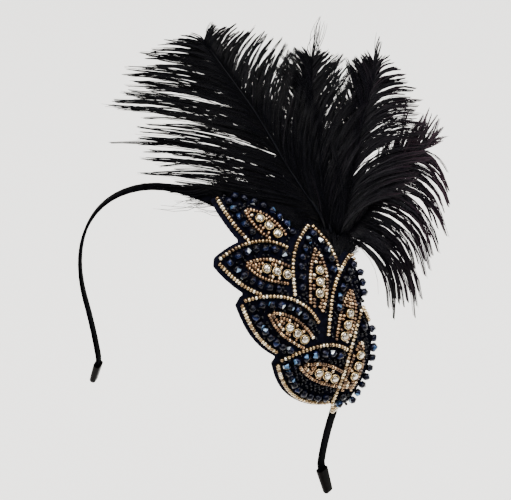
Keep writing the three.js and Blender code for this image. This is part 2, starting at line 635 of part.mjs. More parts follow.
function makeFeather(feather) {
  const spine = new THREE.SplineCurve(feather.spine.map(inPlumePlan));
  const halfWidth = 0.62 * spine.getLength() / LOCKS_PER_SIDE;
  const locks = [];
  for (const { from, tips, bow } of [feather.left, feather.right]) {
    for (let i = 0; i < LOCKS_PER_SIDE; i++) {
      const share = THREE.MathUtils.lerp(from, 0.96, i / (LOCKS_PER_SIDE - 1));
      locks.push(lockLoop(lockLine(spine.getPoint(share), tipAt(tips, share), bow, 3), halfWidth));
    }
  }
  locks.push(lockLoop(lockLine(spine.getPoint(0.97), inPlumePlan(feather.end), 0, 3), halfWidth));
  const flat = locks.map((loop) => toSolid(prism(loop, -LOCK_THICKNESS / 2, LOCK_THICKNESS / 2)));
  const line = new THREE.CatmullRomCurve3(spine.getSpacedPoints(6).map((p) => new THREE.Vector3(p.x, p.y, 0)));
  flat.push(toSolid(rod(line, SHAFT_RADIUS, 6, 8)));
  const sheet = toGeometry(join(flat));
  const position = sheet.attributes.position;
  const layer = feather.layer * LAYER_GAP;
  for (let i = 0; i < position.count; i++) {
    const { x, y, z } = inPlume(position.getX(i), position.getY(i), position.getZ(i) + layer);
    position.setXYZ(i, x, y, z);
  }
  const quillSpots = feather.quill.map(([s, v]) => [SPRAY_START + s * SPRAY_LENGTH, v * SPRAY_REACH]);
  const under = quillSpots.slice(0, 3).map(([s, v]) => onHead(s, v, FELT_BOTTOM - GAP - QUILL_RADIUS));
  const foot = spine.getPoint(0);
  const step = spine.getPoint(0.06);
  const quillLine = new THREE.CatmullRomCurve3([
    ...under,
    onHead(...quillSpots[3], QUILL_RISE),
    inPlume(foot.x, foot.y, layer),
    inPlume(step.x, step.y, layer),
  ], false, 'centripetal');
  const quill = rod(quillLine, QUILL_RADIUS, 8, 14);
  const whole = toSolid(sheet).add(toSolid(quill));
  const geometry = toGeometry(whole);
  geometry.computeVertexNormals();
  addMesh(`feather_${feather.name}`, geometry, PLUME_BLACK);
}

makeBand();
makeTip('tip_left', 1);
makeTip('tip_right', -1);
makeBacking();
leaves.forEach((leaf, index) => {
  makeOutline(leaf, index);
  makeHeart(leaf, index);
  makeField(leaf, index);
  stoneSpots(leaf).forEach((spot, place) => makeStone(`stone_${leaf.name}_${place + 1}`, spot));
});
FEATHERS.forEach(makeFeather);

export default part;
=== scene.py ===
# %% [markdown]
# # A feather headband, one piece at a time
#
# A flapper headband is a narrow spring band with two things fixed to one side: a felt leaf spray
# embroidered with beads, and a fan of ostrich plumes whose quills are sewn in behind the felt.
# The frame of solids gives every size. This script puts the real surfaces over it.

# %% Load the frame
import math

import bpy
import numpy as np
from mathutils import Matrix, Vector


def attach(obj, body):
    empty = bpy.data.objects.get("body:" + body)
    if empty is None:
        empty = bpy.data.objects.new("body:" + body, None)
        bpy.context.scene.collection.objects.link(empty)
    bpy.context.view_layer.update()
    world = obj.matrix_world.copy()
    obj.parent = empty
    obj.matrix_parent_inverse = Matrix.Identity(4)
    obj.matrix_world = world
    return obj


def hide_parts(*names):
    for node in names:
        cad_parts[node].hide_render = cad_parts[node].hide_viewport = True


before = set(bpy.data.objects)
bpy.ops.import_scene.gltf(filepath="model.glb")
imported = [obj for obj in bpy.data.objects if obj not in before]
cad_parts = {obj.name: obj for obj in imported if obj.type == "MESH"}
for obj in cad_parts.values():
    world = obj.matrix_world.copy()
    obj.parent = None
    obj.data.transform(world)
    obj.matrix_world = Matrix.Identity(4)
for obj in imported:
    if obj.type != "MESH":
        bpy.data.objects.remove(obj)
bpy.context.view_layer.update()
MM = 0.001
rng = np.random.default_rng(23)

# %% [markdown]
# ## The camera
#
# The photograph looks down on the wearer's left front. Its angle and distance were fitted to the
# curve of the band, so the camera is placed from an azimuth, an elevation and a distance, and it
# looks at the point that lies in the middle of the picture. A long lens keeps the headband's two
# ends the same size.

# %% Place the camera
AZIMUTH = math.radians(35)
ELEVATION = math.radians(39)
DISTANCE = 800
TARGET = Vector((26.6, 0.9, -17.2)) * MM

toward = Vector((
    math.sin(AZIMUTH) * math.cos(ELEVATION),
    -math.cos(AZIMUTH) * math.cos(ELEVATION),
    math.sin(ELEVATION),
))
bpy.ops.object.select_all(action="DESELECT")
bpy.ops.object.camera_add(location=toward * DISTANCE * MM)
camera = bpy.context.object
camera.rotation_euler = (TARGET - camera.location).to_track_quat("-Z", "Y").to_euler()
camera.data.lens = 133.2
camera.data.sensor_width = 36
camera.data.clip_start = 0.05
bpy.context.scene.camera = camera
print("Camera in m:", [round(v, 3) for v in camera.location])

# %% [markdown]
# ## Light
#
# The photograph is lit as a catalogue picture: white paper below and a wide soft light above. Most
# of the light comes from overhead, so that black cloth stays black at its sides, and smaller lamps
# give the beads and stones something to glint with.

# %% Light the studio
world = bpy.data.worlds.new("pale_studio")
bpy.context.scene.world = world
world.use_nodes = True
world.node_tree.nodes["Background"].inputs["Color"].default_value = (1.0, 0.985, 0.965, 1)
world.node_tree.nodes["Background"].inputs["Strength"].default_value = 0.35


def add_lamp(name, place, size, power, color):
    bpy.ops.object.light_add(type="AREA", location=place)
    lamp = bpy.context.object
    lamp.name = name
    lamp.rotation_euler = (TARGET - lamp.location).to_track_quat("-Z", "Y").to_euler()
    lamp.data.size = size
    lamp.data.energy = power
    lamp.data.color = color


add_lamp("overhead_lamp", (0, 0.2, 2.2), 2.4, 150, (1.0, 0.985, 0.965))
add_lamp("key_lamp", (-0.5, -0.9, 1.3), 0.5, 18, (1.0, 0.97, 0.93))
add_lamp("rim_lamp", (1.1, 0.5, 0.7), 0.3, 9, (0.9, 0.95, 1.0))
add_lamp("spark_lamp", (0.55, -0.8, 0.5), 0.08, 3, (1.0, 1.0, 1.0))

# %% [markdown]
# ## Finishes
#
# Each finish starts from the real material: how it was made says how it takes the light. Colours
# are picked as sRGB hex values, and one function turns them into the linear numbers that the
# shader wants. One other small function adds a node with its settings and its links.

# %% Helpers for materials


def linear(code):
    channels = [int(code[i:i + 2], 16) / 255 for i in (1, 3, 5)]
    return tuple(c / 12.92 if c <= 0.04045 else ((c + 0.055) / 1.055) ** 2.4 for c in channels) + (1.0,)


def add_node(material, kind, settings=None, inputs=None):
    node = material.node_tree.nodes.new(kind)
    for name, value in (settings or {}).items():
        setattr(node, name, value)
    for name, value in (inputs or {}).items():
        if isinstance(value, bpy.types.NodeSocket):
            material.node_tree.links.new(value, node.inputs[name])
        else:
            node.inputs[name].default_value = value
    return node


def new_material(name, **values):
    material = bpy.data.materials.new(name)
    material.use_nodes = True
    shader = material.node_tree.nodes["Principled BSDF"]
    for key, value in values.items():
        shader.inputs[key.replace("_", " ")].default_value = value
    return material, shader


def ramp(material, factor, stops):
    node = add_node(material, "ShaderNodeValToRGB", {}, {"Fac": factor})
    while len(node.color_ramp.elements) < len(stops):
        node.color_ramp.elements.new(0.5)
    for element, (place, code) in zip(node.color_ramp.elements, stops):
        element.position = place
        element.color = linear(code)
    return node.outputs["Color"]


def link(material, output, shader, name):
    material.node_tree.links.new(output, shader.inputs[name])


print("Middle grey as a linear number:", round(linear("#808080")[0], 3))

# %% [markdown]
# ### Cloth and cap
#
# Satin is woven so that long threads float on top, and felt is pressed, with no weave. The caps
# come from a polished mould. An image of cloth would fix the pattern to one size, so noise at the
# size of the fibres makes the tone and the relief instead.

# %% Cloth finishes
# Black polyester satin ribbon, woven: smooth floats that give a soft stripe of light, painted here as the
# lighter bands of a wave in the base colour. The waves lie 6 mm apart, and the grains are 0.7 mm wide,
# coarser than the real threads so that they show.
SATIN_WAVE_SCALE = 55.0
SATIN_GRAIN_SCALE = 1500.0
satin, shader = new_material("black_satin_ribbon", Roughness=0.6, Specular_IOR_Level=0.004)
place = add_node(satin, "ShaderNodeTexCoord")
painted_sheen_waves = add_node(satin, "ShaderNodeTexWave", {"bands_direction": "X"}, {
    "Vector": place.outputs["Object"], "Scale": SATIN_WAVE_SCALE, "Distortion": 0.6, "Detail": 1.0})
# The wave's lighter bands are painted sheen, not a colour of the ribbon.
link(satin, ramp(satin, painted_sheen_waves.outputs["Fac"], [(0.0, "#010102"), (1.0, "#040407")]), shader, "Base Color")
weave = add_node(satin, "ShaderNodeTexNoise", {}, {
    "Vector": place.outputs["Object"], "Scale": SATIN_GRAIN_SCALE, "Detail": 2.0})
relief = add_node(satin, "ShaderNodeBump", {}, {
    "Height": weave.outputs["Fac"], "Strength": 0.25, "Distance": 0.0002})
link(satin, relief.outputs["Normal"], shader, "Normal")

# Pressed wool-mix felt, dyed black-navy: no weave, a matted mass of fibres in tufts of 1.4 mm.
FELT_TUFT_SCALE = 700.0
felt, shader = new_material("black_navy_felt", Roughness=1.0, Specular_IOR_Level=0.04)
place = add_node(felt, "ShaderNodeTexCoord")
matted = add_node(felt, "ShaderNodeTexNoise", {}, {
    "Vector": place.outputs["Object"], "Scale": FELT_TUFT_SCALE, "Detail": 5.0})
link(felt, ramp(felt, matted.outputs["Fac"], [(0.3, "#020206"), (0.7, "#070815")]), shader, "Base Color")
relief = add_node(felt, "ShaderNodeBump", {}, {
    "Height": matted.outputs["Fac"], "Strength": 0.6, "Distance": 0.0003})
link(felt, relief.outputs["Normal"], shader, "Normal")

# Moulded soft plastic cap, dark brown-black, from a polished mould: even with a broad shine, and
# clouded in patches of 2.5 mm.
CAP_CLOUD_SCALE = 400.0
cap_plastic, shader = new_material("moulded_cap", Roughness=0.35, Specular_IOR_Level=0.02)
place = add_node(cap_plastic, "ShaderNodeTexCoord")
clouds = add_node(cap_plastic, "ShaderNodeTexNoise", {}, {
    "Vector": place.outputs["Object"], "Scale": CAP_CLOUD_SCALE})
cap_color = ramp(cap_plastic, clouds.outputs["Fac"], [(0.3, "#030202"), (0.7, "#080605")])
link(cap_plastic, cap_color, shader, "Base Color")
print("Cloth and cap:", satin.name, felt.name, cap_plastic.name)

# %% [markdown]
# ### Glass, crystal and cups
#
# The beads are glass that is coated, plated or lined with silver, so they shine as metal does. Real
# glass would need many bounces of light and look grey at this size. A metallic base under a thin
# clear coat gives the same glint in one bounce.


# %% Bead and stone finishes
def bead_material(name, stops, **values):
    """Glass beads of one string differ in tone, and some ramps paint glints: each bead or facet carries its
    own number from 0 to 1.
    """
    material, shader = new_material(name, **values)
    tone = add_node(material, "ShaderNodeAttribute", {"attribute_name": "tone"})
    link(material, ramp(material, tone.outputs["Fac"], stops), shader, "Base Color")
    return material


# Silver-lined gold glass: the lining behind the glass makes it shine as metal.
# Each bead takes a random tone: partly real, and the ramp's dark-brown and near-white ends paint shade and
# highlights.
gold_glass = bead_material("silver_lined_gold_glass", [
    (0.0, "#4a3722"), (0.35, "#8f7450"), (0.75, "#cdb68c"), (1.0, "#f6eedb")],
    Metallic=0.9, Roughness=0.18, Coat_Weight=0.5, Coat_Roughness=0.06)
# Metallic copper-gold glass, a plated bead: darker and redder.
# Here too the ramp's dark and pale ends paint shade and highlights on random beads.
copper_glass = bead_material("plated_copper_glass", [
    (0.0, "#3d2a1b"), (0.4, "#7f6043"), (0.8, "#bd9d76"), (1.0, "#f0e0c4")],
    Metallic=0.9, Roughness=0.18, Coat_Weight=0.5, Coat_Roughness=0.06)
# Fire-polished black glass with a blue metallic coat: each facet gets its own random tone, and the top of
# the ramp paints a blue-white glint on the few facets whose tone is high.
cut_glass_painted_glints = bead_material("blue_coated_black_glass_painted_glints", [
    (0.0, "#030307"), (0.5, "#070a1c"), (0.72, "#142042"), (0.84, "#54789c"), (1.0, "#eef6fa")],
    Metallic=0.5, Roughness=0.1, Specular_IOR_Level=0.15, Coat_Weight=0.1, Coat_Roughness=0.03)
# Foiled crystal: cut glass over a silver foil that throws the light back.
crystal, shader = new_material("foiled_crystal", Metallic=0.75, Roughness=0.08,
                               Coat_Weight=1.0, Coat_Roughness=0.02)
# Each facet takes a random tone from dark to near white: painted reflections of the foil.
tone = add_node(crystal, "ShaderNodeAttribute", {"attribute_name": "tone"})
painted_facet_reflections = ramp(crystal, tone.outputs["Fac"], [
    (0.0, "#5d5044"), (0.35, "#a3937f"), (0.65, "#ddd3c1"), (1.0, "#fffdf6")])
link(crystal, painted_facet_reflections, shader, "Base Color")
# Stamped brass cup with a silver-gold plate, worn in patches of 1.7 mm.
CUP_WEAR_SCALE = 600.0
cup_metal, shader = new_material("plated_cup", Metallic=1.0, Roughness=0.25)
place = add_node(cup_metal, "ShaderNodeTexCoord")
wear = add_node(cup_metal, "ShaderNodeTexNoise", {}, {
    "Vector": place.outputs["Object"], "Scale": CUP_WEAR_SCALE})
cup_color = ramp(cup_metal, wear.outputs["Fac"], [(0.3, "#8b6f45"), (0.7, "#cdb98d")])
link(cup_metal, cup_color, shader, "Base Color")
print("Bead finishes:", gold_glass.name, copper_glass.name, cut_glass_painted_glints.name)

# %% [markdown]
# ### Feathers
#
# Dyed feather is keratin: matte, with a weak sheen along each barb. Each point of a barb carries a
# tone, partly at random where the dye takes unevenly, and rising to the right and towards the tips as
# painted light shining through the barbs; a ramp turns it into blue-black or brown-purple.

# %% Feather finish
# Ostrich barbs dyed black: matte fibres with a blue cast; the brown-purple end is painted light shining
# through them.
plume_black, shader = new_material("dyed_ostrich", Roughness=0.4, Specular_IOR_Level=0.08)
tone = add_node(plume_black, "ShaderNodeAttribute", {"attribute_name": "tone"})
link(plume_black, ramp(plume_black, tone.outputs["Fac"], [
    (0.0, "#000001"), (0.4, "#020206"), (0.7, "#120d13"), (1.0, "#43303a")]), shader, "Base Color")
print("Materials:", len(bpy.data.materials))

# %% [markdown]
# ## From the flat plan to the head
#
# The spray was embroidered flat and then bent over the head, so the pieces on it are laid out flat
# too: s runs down the band from the crown, v runs across it to the back, and w is the height.
# These are the same sizes and the same bend as in the part's source.

# %% The band's curve
BAND_WIDTH = 4
BAND_THICKNESS = 1.4
GAP = 0.3
CROWN_RADIUS, CROWN_TURN = 62, math.radians(30)
SIDE_RADIUS, SIDE_TURN = 77, math.radians(54)
TUCK_RADIUS, TUCK_TURN = 80, math.radians(18)
LEG_RADIUS, LEG_LENGTH = 300, 34
FLARE_RADIUS, FLARE_TURN = 16, math.radians(22)
END_LENGTH = 13
# length of each arc and its turn, from the crown down: a minus turns outward
ARCS = np.array([
    (CROWN_RADIUS * CROWN_TURN, CROWN_TURN),
    (SIDE_RADIUS * SIDE_TURN, SIDE_TURN),
    (TUCK_RADIUS * TUCK_TURN, TUCK_TURN),
    (LEG_LENGTH, -LEG_LENGTH / LEG_RADIUS),
    (FLARE_RADIUS * FLARE_TURN, -FLARE_TURN),
    (END_LENGTH, 0),
])
HALF_LENGTH = ARCS[:, 0].sum()
TIP_LENGTH = 13.5
TIP_START = HALF_LENGTH - TIP_LENGTH
TIP_OVERLAP = 5
TWIST_PER_MM = math.radians(0.24)
TWIST_PEAK = 112
TWIST_END = 220
HEAD_RADIUS = 62


def head_frames(s, v):
    """Foot on the head and the three directions down, across and out there, for arrays of s and v."""
    s = np.asarray(s, float)
    v = np.asarray(v, float)
    side = np.where(s < 0, -1.0, 1.0)
    left = np.abs(s)
    heading = np.zeros_like(left)
    x = np.zeros_like(left)
    z = np.zeros_like(left)
    for length, whole_turn in ARCS:
        piece = np.minimum(left, length)
        turn = whole_turn * piece / length
        chord = piece * np.sinc(turn / 2 / np.pi)
        x += chord * np.cos(heading + turn / 2)
        z -= chord * np.sin(heading + turn / 2)
        heading += turn
        left -= piece
    gone = np.clip((np.abs(s) - TWIST_PEAK) / (TWIST_END - TWIST_PEAK), 0, 1)
    twist = TWIST_PER_MM * np.minimum(np.abs(s), TWIST_PEAK) * (1 - gone)
    heading *= side
    zero = np.zeros_like(x)
    down = np.stack([np.cos(heading), zero, -np.sin(heading)], -1)
    up = np.stack([np.sin(heading), zero, np.cos(heading)], -1)
    back = np.stack([zero, zero + 1, zero], -1)
    # Turning about down by side * side * twist takes up towards down x up and back towards down x back.
    cos, sin = np.cos(twist)[..., None], np.sin(twist)[..., None]
    up, back = up * cos + np.cross(down, up) * sin, back * cos + np.cross(down, back) * sin
    angle = (v / HEAD_RADIUS)[..., None]
    foot = np.stack([side * x, zero, z + BAND_THICKNESS / 2], -1)
    foot = foot + back * HEAD_RADIUS * np.sin(angle) + up * HEAD_RADIUS * (np.cos(angle) - 1)
    out = up * np.cos(angle) + back * np.sin(angle)
    return foot, down, np.cross(out, down), out


def on_head(points):
    """Flat (s, v, w) in millimetres to places on the head, in metres."""
    points = np.asarray(points, float)
    foot, _, _, out = head_frames(points[..., 0], points[..., 1])
    return (foot + out * points[..., 2:3]) * MM


def bend_object(piece):
    """Moves every vertex of a piece that was modelled flat, in millimetres, to its place on the head."""
    flat = np.empty(len(piece.data.vertices) * 3)
    piece.data.vertices.foreach_get("co", flat)
    piece.data.vertices.foreach_set("co", on_head(flat.reshape(-1, 3)).ravel())
    piece.data.update()


print("Band from crown to tip in mm:", round(HALF_LENGTH, 1))

# %% [markdown]
# ## The band and its caps
#
# A spring-steel strip wound with satin ribbon. It starts as a flat bar, as the real strip does. The
# long edges are rounded with a bevel, the bar is cut into short lengths so that it can bend, and
# each lap of the ribbon lifts its own edge a little.

# %% Helpers for modelling


def start_flat_block(name, low, high):
    """A primitive cube stretched between two corners of the flat plan, in millimetres."""
    low, high = Vector(low), Vector(high)
    bpy.ops.object.select_all(action="DESELECT")
    bpy.ops.mesh.primitive_cube_add(size=1, location=(low + high) / 2)
    piece = bpy.context.object
    piece.name = name
    piece.dimensions = high - low
    bpy.ops.object.transform_apply(location=True, rotation=True, scale=True)
    return piece


def cut_across(piece, axis, places):
    """Cuts the whole piece with a plane at each place along an axis."""
    bpy.ops.object.mode_set(mode="EDIT")
    for place in places:
        bpy.ops.mesh.select_all(action="SELECT")
        point = [0, 0, 0]
        point[axis] = place
        normal = [0, 0, 0]
        normal[axis] = 1
        bpy.ops.mesh.bisect(plane_co=point, plane_no=normal)
    bpy.ops.object.mode_set(mode="OBJECT")


def apply_modifier(piece, kind, **settings):
    modifier = piece.modifiers.new(kind.lower(), kind)
    for name, value in settings.items():
        setattr(modifier, name, value)
    bpy.context.view_layer.objects.active = piece
    bpy.ops.object.modifier_apply(modifier=modifier.name)


def dress(piece, material, slot, *nodes):
    """Gives a finished piece its material and says which solids it stands for."""
    piece.data.materials.clear()
    piece.data.materials.append(material)
    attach(piece, "root")
    if nodes:
        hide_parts(*nodes)
    piece.data.calc_loop_triangles()
    print(piece.name, "triangles:", len(piece.data.loop_triangles))


# %% Wind the band
EDGE_ROUNDING = 0.45
BAND_STEP = 2.4
reach = TIP_START + TIP_OVERLAP
band = start_flat_block("satin_band", (-reach, -BAND_WIDTH / 2, -BAND_THICKNESS / 2),
                        (reach, BAND_WIDTH / 2, BAND_THICKNESS / 2))
apply_modifier(band, "BEVEL", width=EDGE_ROUNDING, segments=3, limit_method="ANGLE")
cut_across(band, 0, np.arange(-reach + 2, reach, BAND_STEP))
flat = np.empty(len(band.data.vertices) * 3)
band.data.vertices.foreach_get("co", flat)
flat = flat.reshape(-1, 3)
# Each lap of the 9 mm ribbon covers the last one: it thickens towards its own edge and drops there.
LAP = 7.2
LAP_SLANT = 0.9
LAP_LIFT = 0.045
lap = ((flat[:, 0] + LAP_SLANT * flat[:, 1]) / LAP) % 1
flat[:, 1:] *= 1 + LAP_LIFT * lap[:, None]
band.data.vertices.foreach_set("co", flat.ravel())
bend_object(band)
bpy.ops.object.shade_smooth_by_angle(angle=math.radians(40))
dress(band, satin, "satin", "band")

# %% [markdown]
# ### The caps
#
# Each band end sits in a moulded cap that keeps it from scratching: a soft-nosed sleeve with an
# open mouth. A tube would be round, and this cap is flat, so it starts as a block. Its far end is
# drawn in, its edges are bevelled, and the mouth is inset and pushed in round the band.

# %% Mould the caps
TIP_WIDTH = 5.6
CAP_WALL = 0.8
TIP_THICKNESS = 2 * (BAND_THICKNESS / 2 + GAP + CAP_WALL)
NOSE_ROUNDING = 1.35
NOSE_SHARE = 0.85
MOUTH_RIM = 0.6
MOUTH_DEPTH = 1.2
CAP_STEP = 1.8
for side, name in ((1, "tip_left"), (-1, "tip_right")):
    ends = sorted((side * TIP_START, side * HALF_LENGTH))
    cap = start_flat_block(f"cap_{name[4:]}", (ends[0], -TIP_WIDTH / 2, -TIP_THICKNESS / 2),
                           (ends[1], TIP_WIDTH / 2, TIP_THICKNESS / 2))
    # The far end is drawn in, and then all edges but the mouth's are rounded, so it has a soft nose.
    bpy.ops.object.mode_set(mode="EDIT")
    bpy.ops.mesh.select_all(action="DESELECT")
    bpy.ops.object.mode_set(mode="OBJECT")
    for face in cap.data.polygons:
        face.select = face.normal.x * side > 0.9
    bpy.ops.object.mode_set(mode="EDIT")
    bpy.ops.mesh.select_mode(type="FACE")
    bpy.ops.transform.resize(value=(1, NOSE_SHARE, NOSE_SHARE))
    bpy.ops.mesh.select_mode(type="EDGE")
    bpy.ops.mesh.select_all(action="DESELECT")
    bpy.ops.object.mode_set(mode="OBJECT")
    for edge in cap.data.edges:
        places = [cap.data.vertices[i].co.x * side for i in edge.vertices]
        edge.select = max(places) > TIP_START + 1
    bpy.ops.object.mode_set(mode="EDIT")
    bpy.ops.mesh.bevel(offset=NOSE_ROUNDING, segments=5, affect="EDGES")
    # The mouth is inset, which leaves the rim of the wall, and pushed in.
    bpy.ops.mesh.select_mode(type="FACE")
    bpy.ops.mesh.select_all(action="DESELECT")
    bpy.ops.object.mode_set(mode="OBJECT")
    for face in cap.data.polygons:
        face.select = face.normal.x * side < -0.9
    bpy.ops.object.mode_set(mode="EDIT")
    bpy.ops.mesh.inset(thickness=MOUTH_RIM)
    bpy.ops.mesh.extrude_region_move(TRANSFORM_OT_translate={"value": (side * MOUTH_DEPTH, 0, 0)})
    bpy.ops.object.mode_set(mode="OBJECT")
    cut_across(cap, 0, side * np.arange(TIP_START + 2, HALF_LENGTH - 1, CAP_STEP))
    bend_object(cap)
    bpy.ops.object.shade_smooth_by_angle(angle=math.radians(50))
    dress(cap, cap_plastic, "end_cap", name)

# %% [markdown]
# ## Leaves
#
# The spray is seven leaves that overlap like roof tiles, the later ones on top. A leaf is a line
# from its tip to its root with a bulge on each side, so a short table holds all of them, and one
# small class answers where its edge is.

# %% The leaf table
SPRAY_START = 6.6
SPRAY_LENGTH = 115
SPRAY_REACH = 29
LEAF_HALF_WIDTH = 12
LEAF_ROOT_SHARE = 0.7
FELT_THICKNESS = 1.3
FELT_BOTTOM = BAND_THICKNESS / 2 + GAP
FELT_TOP = FELT_BOTTOM + FELT_THICKNESS
BEAD_BASE = FELT_TOP
# name, tip, root, half-widths ahead and behind, belly, rows ahead and behind, heart, shift, stones at
LEAVES = [
    ("1", (0, 0.03), (0.308, 0.10), 0.80, 0.73, 0.68, 0.72, 0, (0.33, 0.92), 0.10, 0.69),
    ("2", (0.164, -0.78), (0.421, -0.07), 0.84, 1.00, 0.65, 0.74, 0.80, (0.30, 0.94), 0.03, 0.71),
    ("5", (0.308, 0.71), (0.569, -0.14), 0.98, 0.88, 0.52, 0.84, 0.62, (0.24, 0.95), 0.02, 0.635),
    ("3", (0.342, -0.92), (0.664, -0.40), 0.82, 1.00, 0.65, 0.76, 0.90, (0.31, 0.97), 0.12, 0.755),
    ("6", (0.490, 1.00), (0.738, 0.09), 0.96, 0.50, 0.55, 0.92, 0.12, (0.36, 0.95), -0.14, 0.76),
    ("4", (0.664, -0.88), (0.900, 0.05), 1.18, 1.18, 0.65, 1.00, 0.84, (0.24, 0.96), 0.08, 0.665),
    ("7", (0.656, 0.66), (0.995, -0.03), 0.50, 0.66, 0.50, 1.00, 0.15, (0.28, 0.84), -0.02, 0.55),
]
print("Leaves:", len(LEAVES))


# %% Where a leaf's edge is
class Leaf:
    """A leaf in the flat plan, in millimetres: side -1 is ahead of its middle line, +1 behind it."""

    def __init__(self, tip, root, ahead, behind, belly):
        self.tip = np.array(tip, float)
        self.length = np.linalg.norm(np.subtract(root, tip))
        self.axis = np.subtract(root, tip) / self.length
        self.beside = np.array([-self.axis[1], self.axis[0]])
        self.half = {-1: ahead, 1: behind}
        self.belly = belly

    def point(self, along, beside):
        along = np.asarray(along)[..., None]
        beside = np.asarray(beside)[..., None]
        return self.tip + self.axis * along + self.beside * beside

    def edge(self, side, shares, inset=0):
        """Points along one side, moved inward by the inset."""
        shares = np.asarray(shares, float)
        to_tip = (self.belly - shares) / self.belly
        to_root = (shares - self.belly) / (1 - self.belly)
        near_tip = shares < self.belly
        width = np.where(near_tip, 1 - to_tip ** 2, 1 - (1 - LEAF_ROOT_SHARE) * to_root ** 2)
        root_slope = -2 * (1 - LEAF_ROOT_SHARE) * to_root / (1 - self.belly)
        slope = np.where(near_tip, 2 * to_tip / self.belly, root_slope)
        steep = self.half[side] * slope / self.length
        inward = inset / np.hypot(1, steep)
        beside = self.half[side] * width - inward
        along = shares * self.length + inward * steep
        keep = beside > 0.05
        return self.point(along[keep], side * beside[keep])

    def loop(self, ahead, behind, steps=28):
        """The closed outline, each side moved outward by its own amount."""
        shares = np.linspace(0, 1, steps)
        sides = [self.edge(1, shares, -behind), self.edge(-1, shares, -ahead)]
        return np.vstack([sides[0], sides[1][::-1]])


print("A leaf narrows towards its root to a share of", LEAF_ROOT_SHARE)


# %% Lay out the leaves
HEART_HALF_WIDTH = 4.9
HEART_SHARE = 0.8
HEART_BELLY = 0.55


def make_leaf(row):
    tip, root = [(SPRAY_START + down * SPRAY_LENGTH, back * SPRAY_REACH) for down, back in row[1:3]]
    return Leaf(tip, root, row[3] * LEAF_HALF_WIDTH, row[4] * LEAF_HALF_WIDTH, row[5])


def make_heart(leaf, row):
    (start, end), shift = row[8], row[9] * LEAF_HALF_WIDTH
    room = min(leaf.half[-1] + shift, leaf.half[1] - shift)
    half = min(HEART_HALF_WIDTH, HEART_SHARE * room - GAP)
    tip, root = [leaf.point(share * leaf.length, shift) for share in (start, end)]
    return Leaf(tip, root, half, half, HEART_BELLY)


leaves = [make_leaf(row) for row in LEAVES]
hearts = [make_heart(leaf, row) for leaf, row in zip(leaves, LEAVES)]
print("Leaf lengths in mm:", [round(leaf.length, 1) for leaf in leaves])


# %% What lies over a leaf
def distance_to(loop, points):
    """Distance from flat points to a closed loop: negative inside it."""
    points = np.atleast_2d(points)
    start, run = loop, np.roll(loop, -1, 0) - loop
    away = points[:, None] - start[None]
    share = np.clip((away * run).sum(-1) / np.maximum((run ** 2).sum(-1), 1e-9), 0, 1)
    nearest = np.linalg.norm(away - share[..., None] * run, axis=-1).min(1)
    above = (start[:, 1] > points[:, None, 1]) != (np.roll(start, -1, 0)[:, 1] > points[:, None, 1])
    with np.errstate(divide="ignore", invalid="ignore"):
        crossing = start[:, 0] + run[:, 0] * (points[:, None, 1] - start[:, 1]) / run[:, 1]
    inside = ((above & (points[:, None, 0] < crossing)).sum(1) % 2) == 1
    return np.where(inside, -nearest, nearest)


def cover_loops(index):
    """Outlines of the leaves that lie over this one, which reach to the outside of their bead rows."""
    loops = []
    for leaf, row in zip(leaves[index + 1:], LEAVES[index + 1:]):
        ahead = 1.0 if row[6] > 0.5 else 0.4
        behind = 1.0 if row[7] > 0.5 else 2.1
        loops.append(leaf.loop(ahead, behind))
    return loops


print("Leaves over each leaf:", [len(cover_loops(index)) for index in range(len(LEAVES))])

# %% [markdown]
# ### The felt
#
# All seven leaves are stitched to one piece of felt, cut 1.6 mm outside the bead rows. Each leaf's
# outline is filled and raised into a thick sheet, the seven are joined into one closed body with a
# remesh, which also softens the cut edge, and then the sheet is bent onto the head.

# %% Cut the felt


def raise_outline(name, loop, bottom, top):
    """A flat outline as a closed prism, by filling a circle primitive's ring and extruding it."""
    bpy.ops.object.select_all(action="DESELECT")
    bpy.ops.mesh.primitive_circle_add(vertices=len(loop), radius=1, fill_type="NGON")
    piece = bpy.context.object
    piece.name = name
    ahead = np.roll(loop, -1, 0)
    area = (loop[:, 0] * ahead[:, 1] - ahead[:, 0] * loop[:, 1]).sum()
    if area < 0:
        loop = loop[::-1]
    ring = np.column_stack([loop, np.full(len(loop), bottom)])
    piece.data.vertices.foreach_set("co", ring.ravel())
    bpy.ops.object.mode_set(mode="EDIT")
    bpy.ops.mesh.select_all(action="SELECT")
    bpy.ops.mesh.extrude_region_move(TRANSFORM_OT_translate={"value": (0, 0, top - bottom)})
    bpy.ops.mesh.select_all(action="SELECT")
    bpy.ops.mesh.normals_make_consistent(inside=False)
    bpy.ops.object.mode_set(mode="OBJECT")
    return piece


def join_pieces(pieces, name):
    bpy.ops.object.select_all(action="DESELECT")
    for piece in pieces:
        piece.select_set(True)
    bpy.context.view_layer.objects.active = pieces[0]
    bpy.ops.object.join()
    pieces[0].name = name
    return pieces[0]


FELT_MARGIN = 2.6
FELT_MARGIN_BARE = 1.0
sheets = []
for leaf, row in zip(leaves, LEAVES):
    grow = [FELT_MARGIN if run > 0.5 else FELT_MARGIN_BARE for run in (row[6], row[7])]
    sheets.append(raise_outline("felt_leaf", leaf.loop(*grow), FELT_BOTTOM, FELT_TOP))
felt_sheet = join_pieces(sheets, "felt_backing")
apply_modifier(felt_sheet, "REMESH", mode="VOXEL", voxel_size=0.62)
apply_modifier(felt_sheet, "SMOOTH", factor=0.5, iterations=2)
bend_object(felt_sheet)
bpy.ops.object.shade_smooth()
dress(felt_sheet, felt, "felt", "backing")

# %% [markdown]
# ## Beads
#
# A seed bead is a short length of glass tube with melted edges: a small ring. It is modelled once,
# with few faces because there are more than a thousand of them, and copied to its places on the
# thread. Each copy keeps its own tone, because no two beads of a string look quite the same; in the
# gold rows the spread of tones also paints highlights and shade.

# %% Model a seed bead


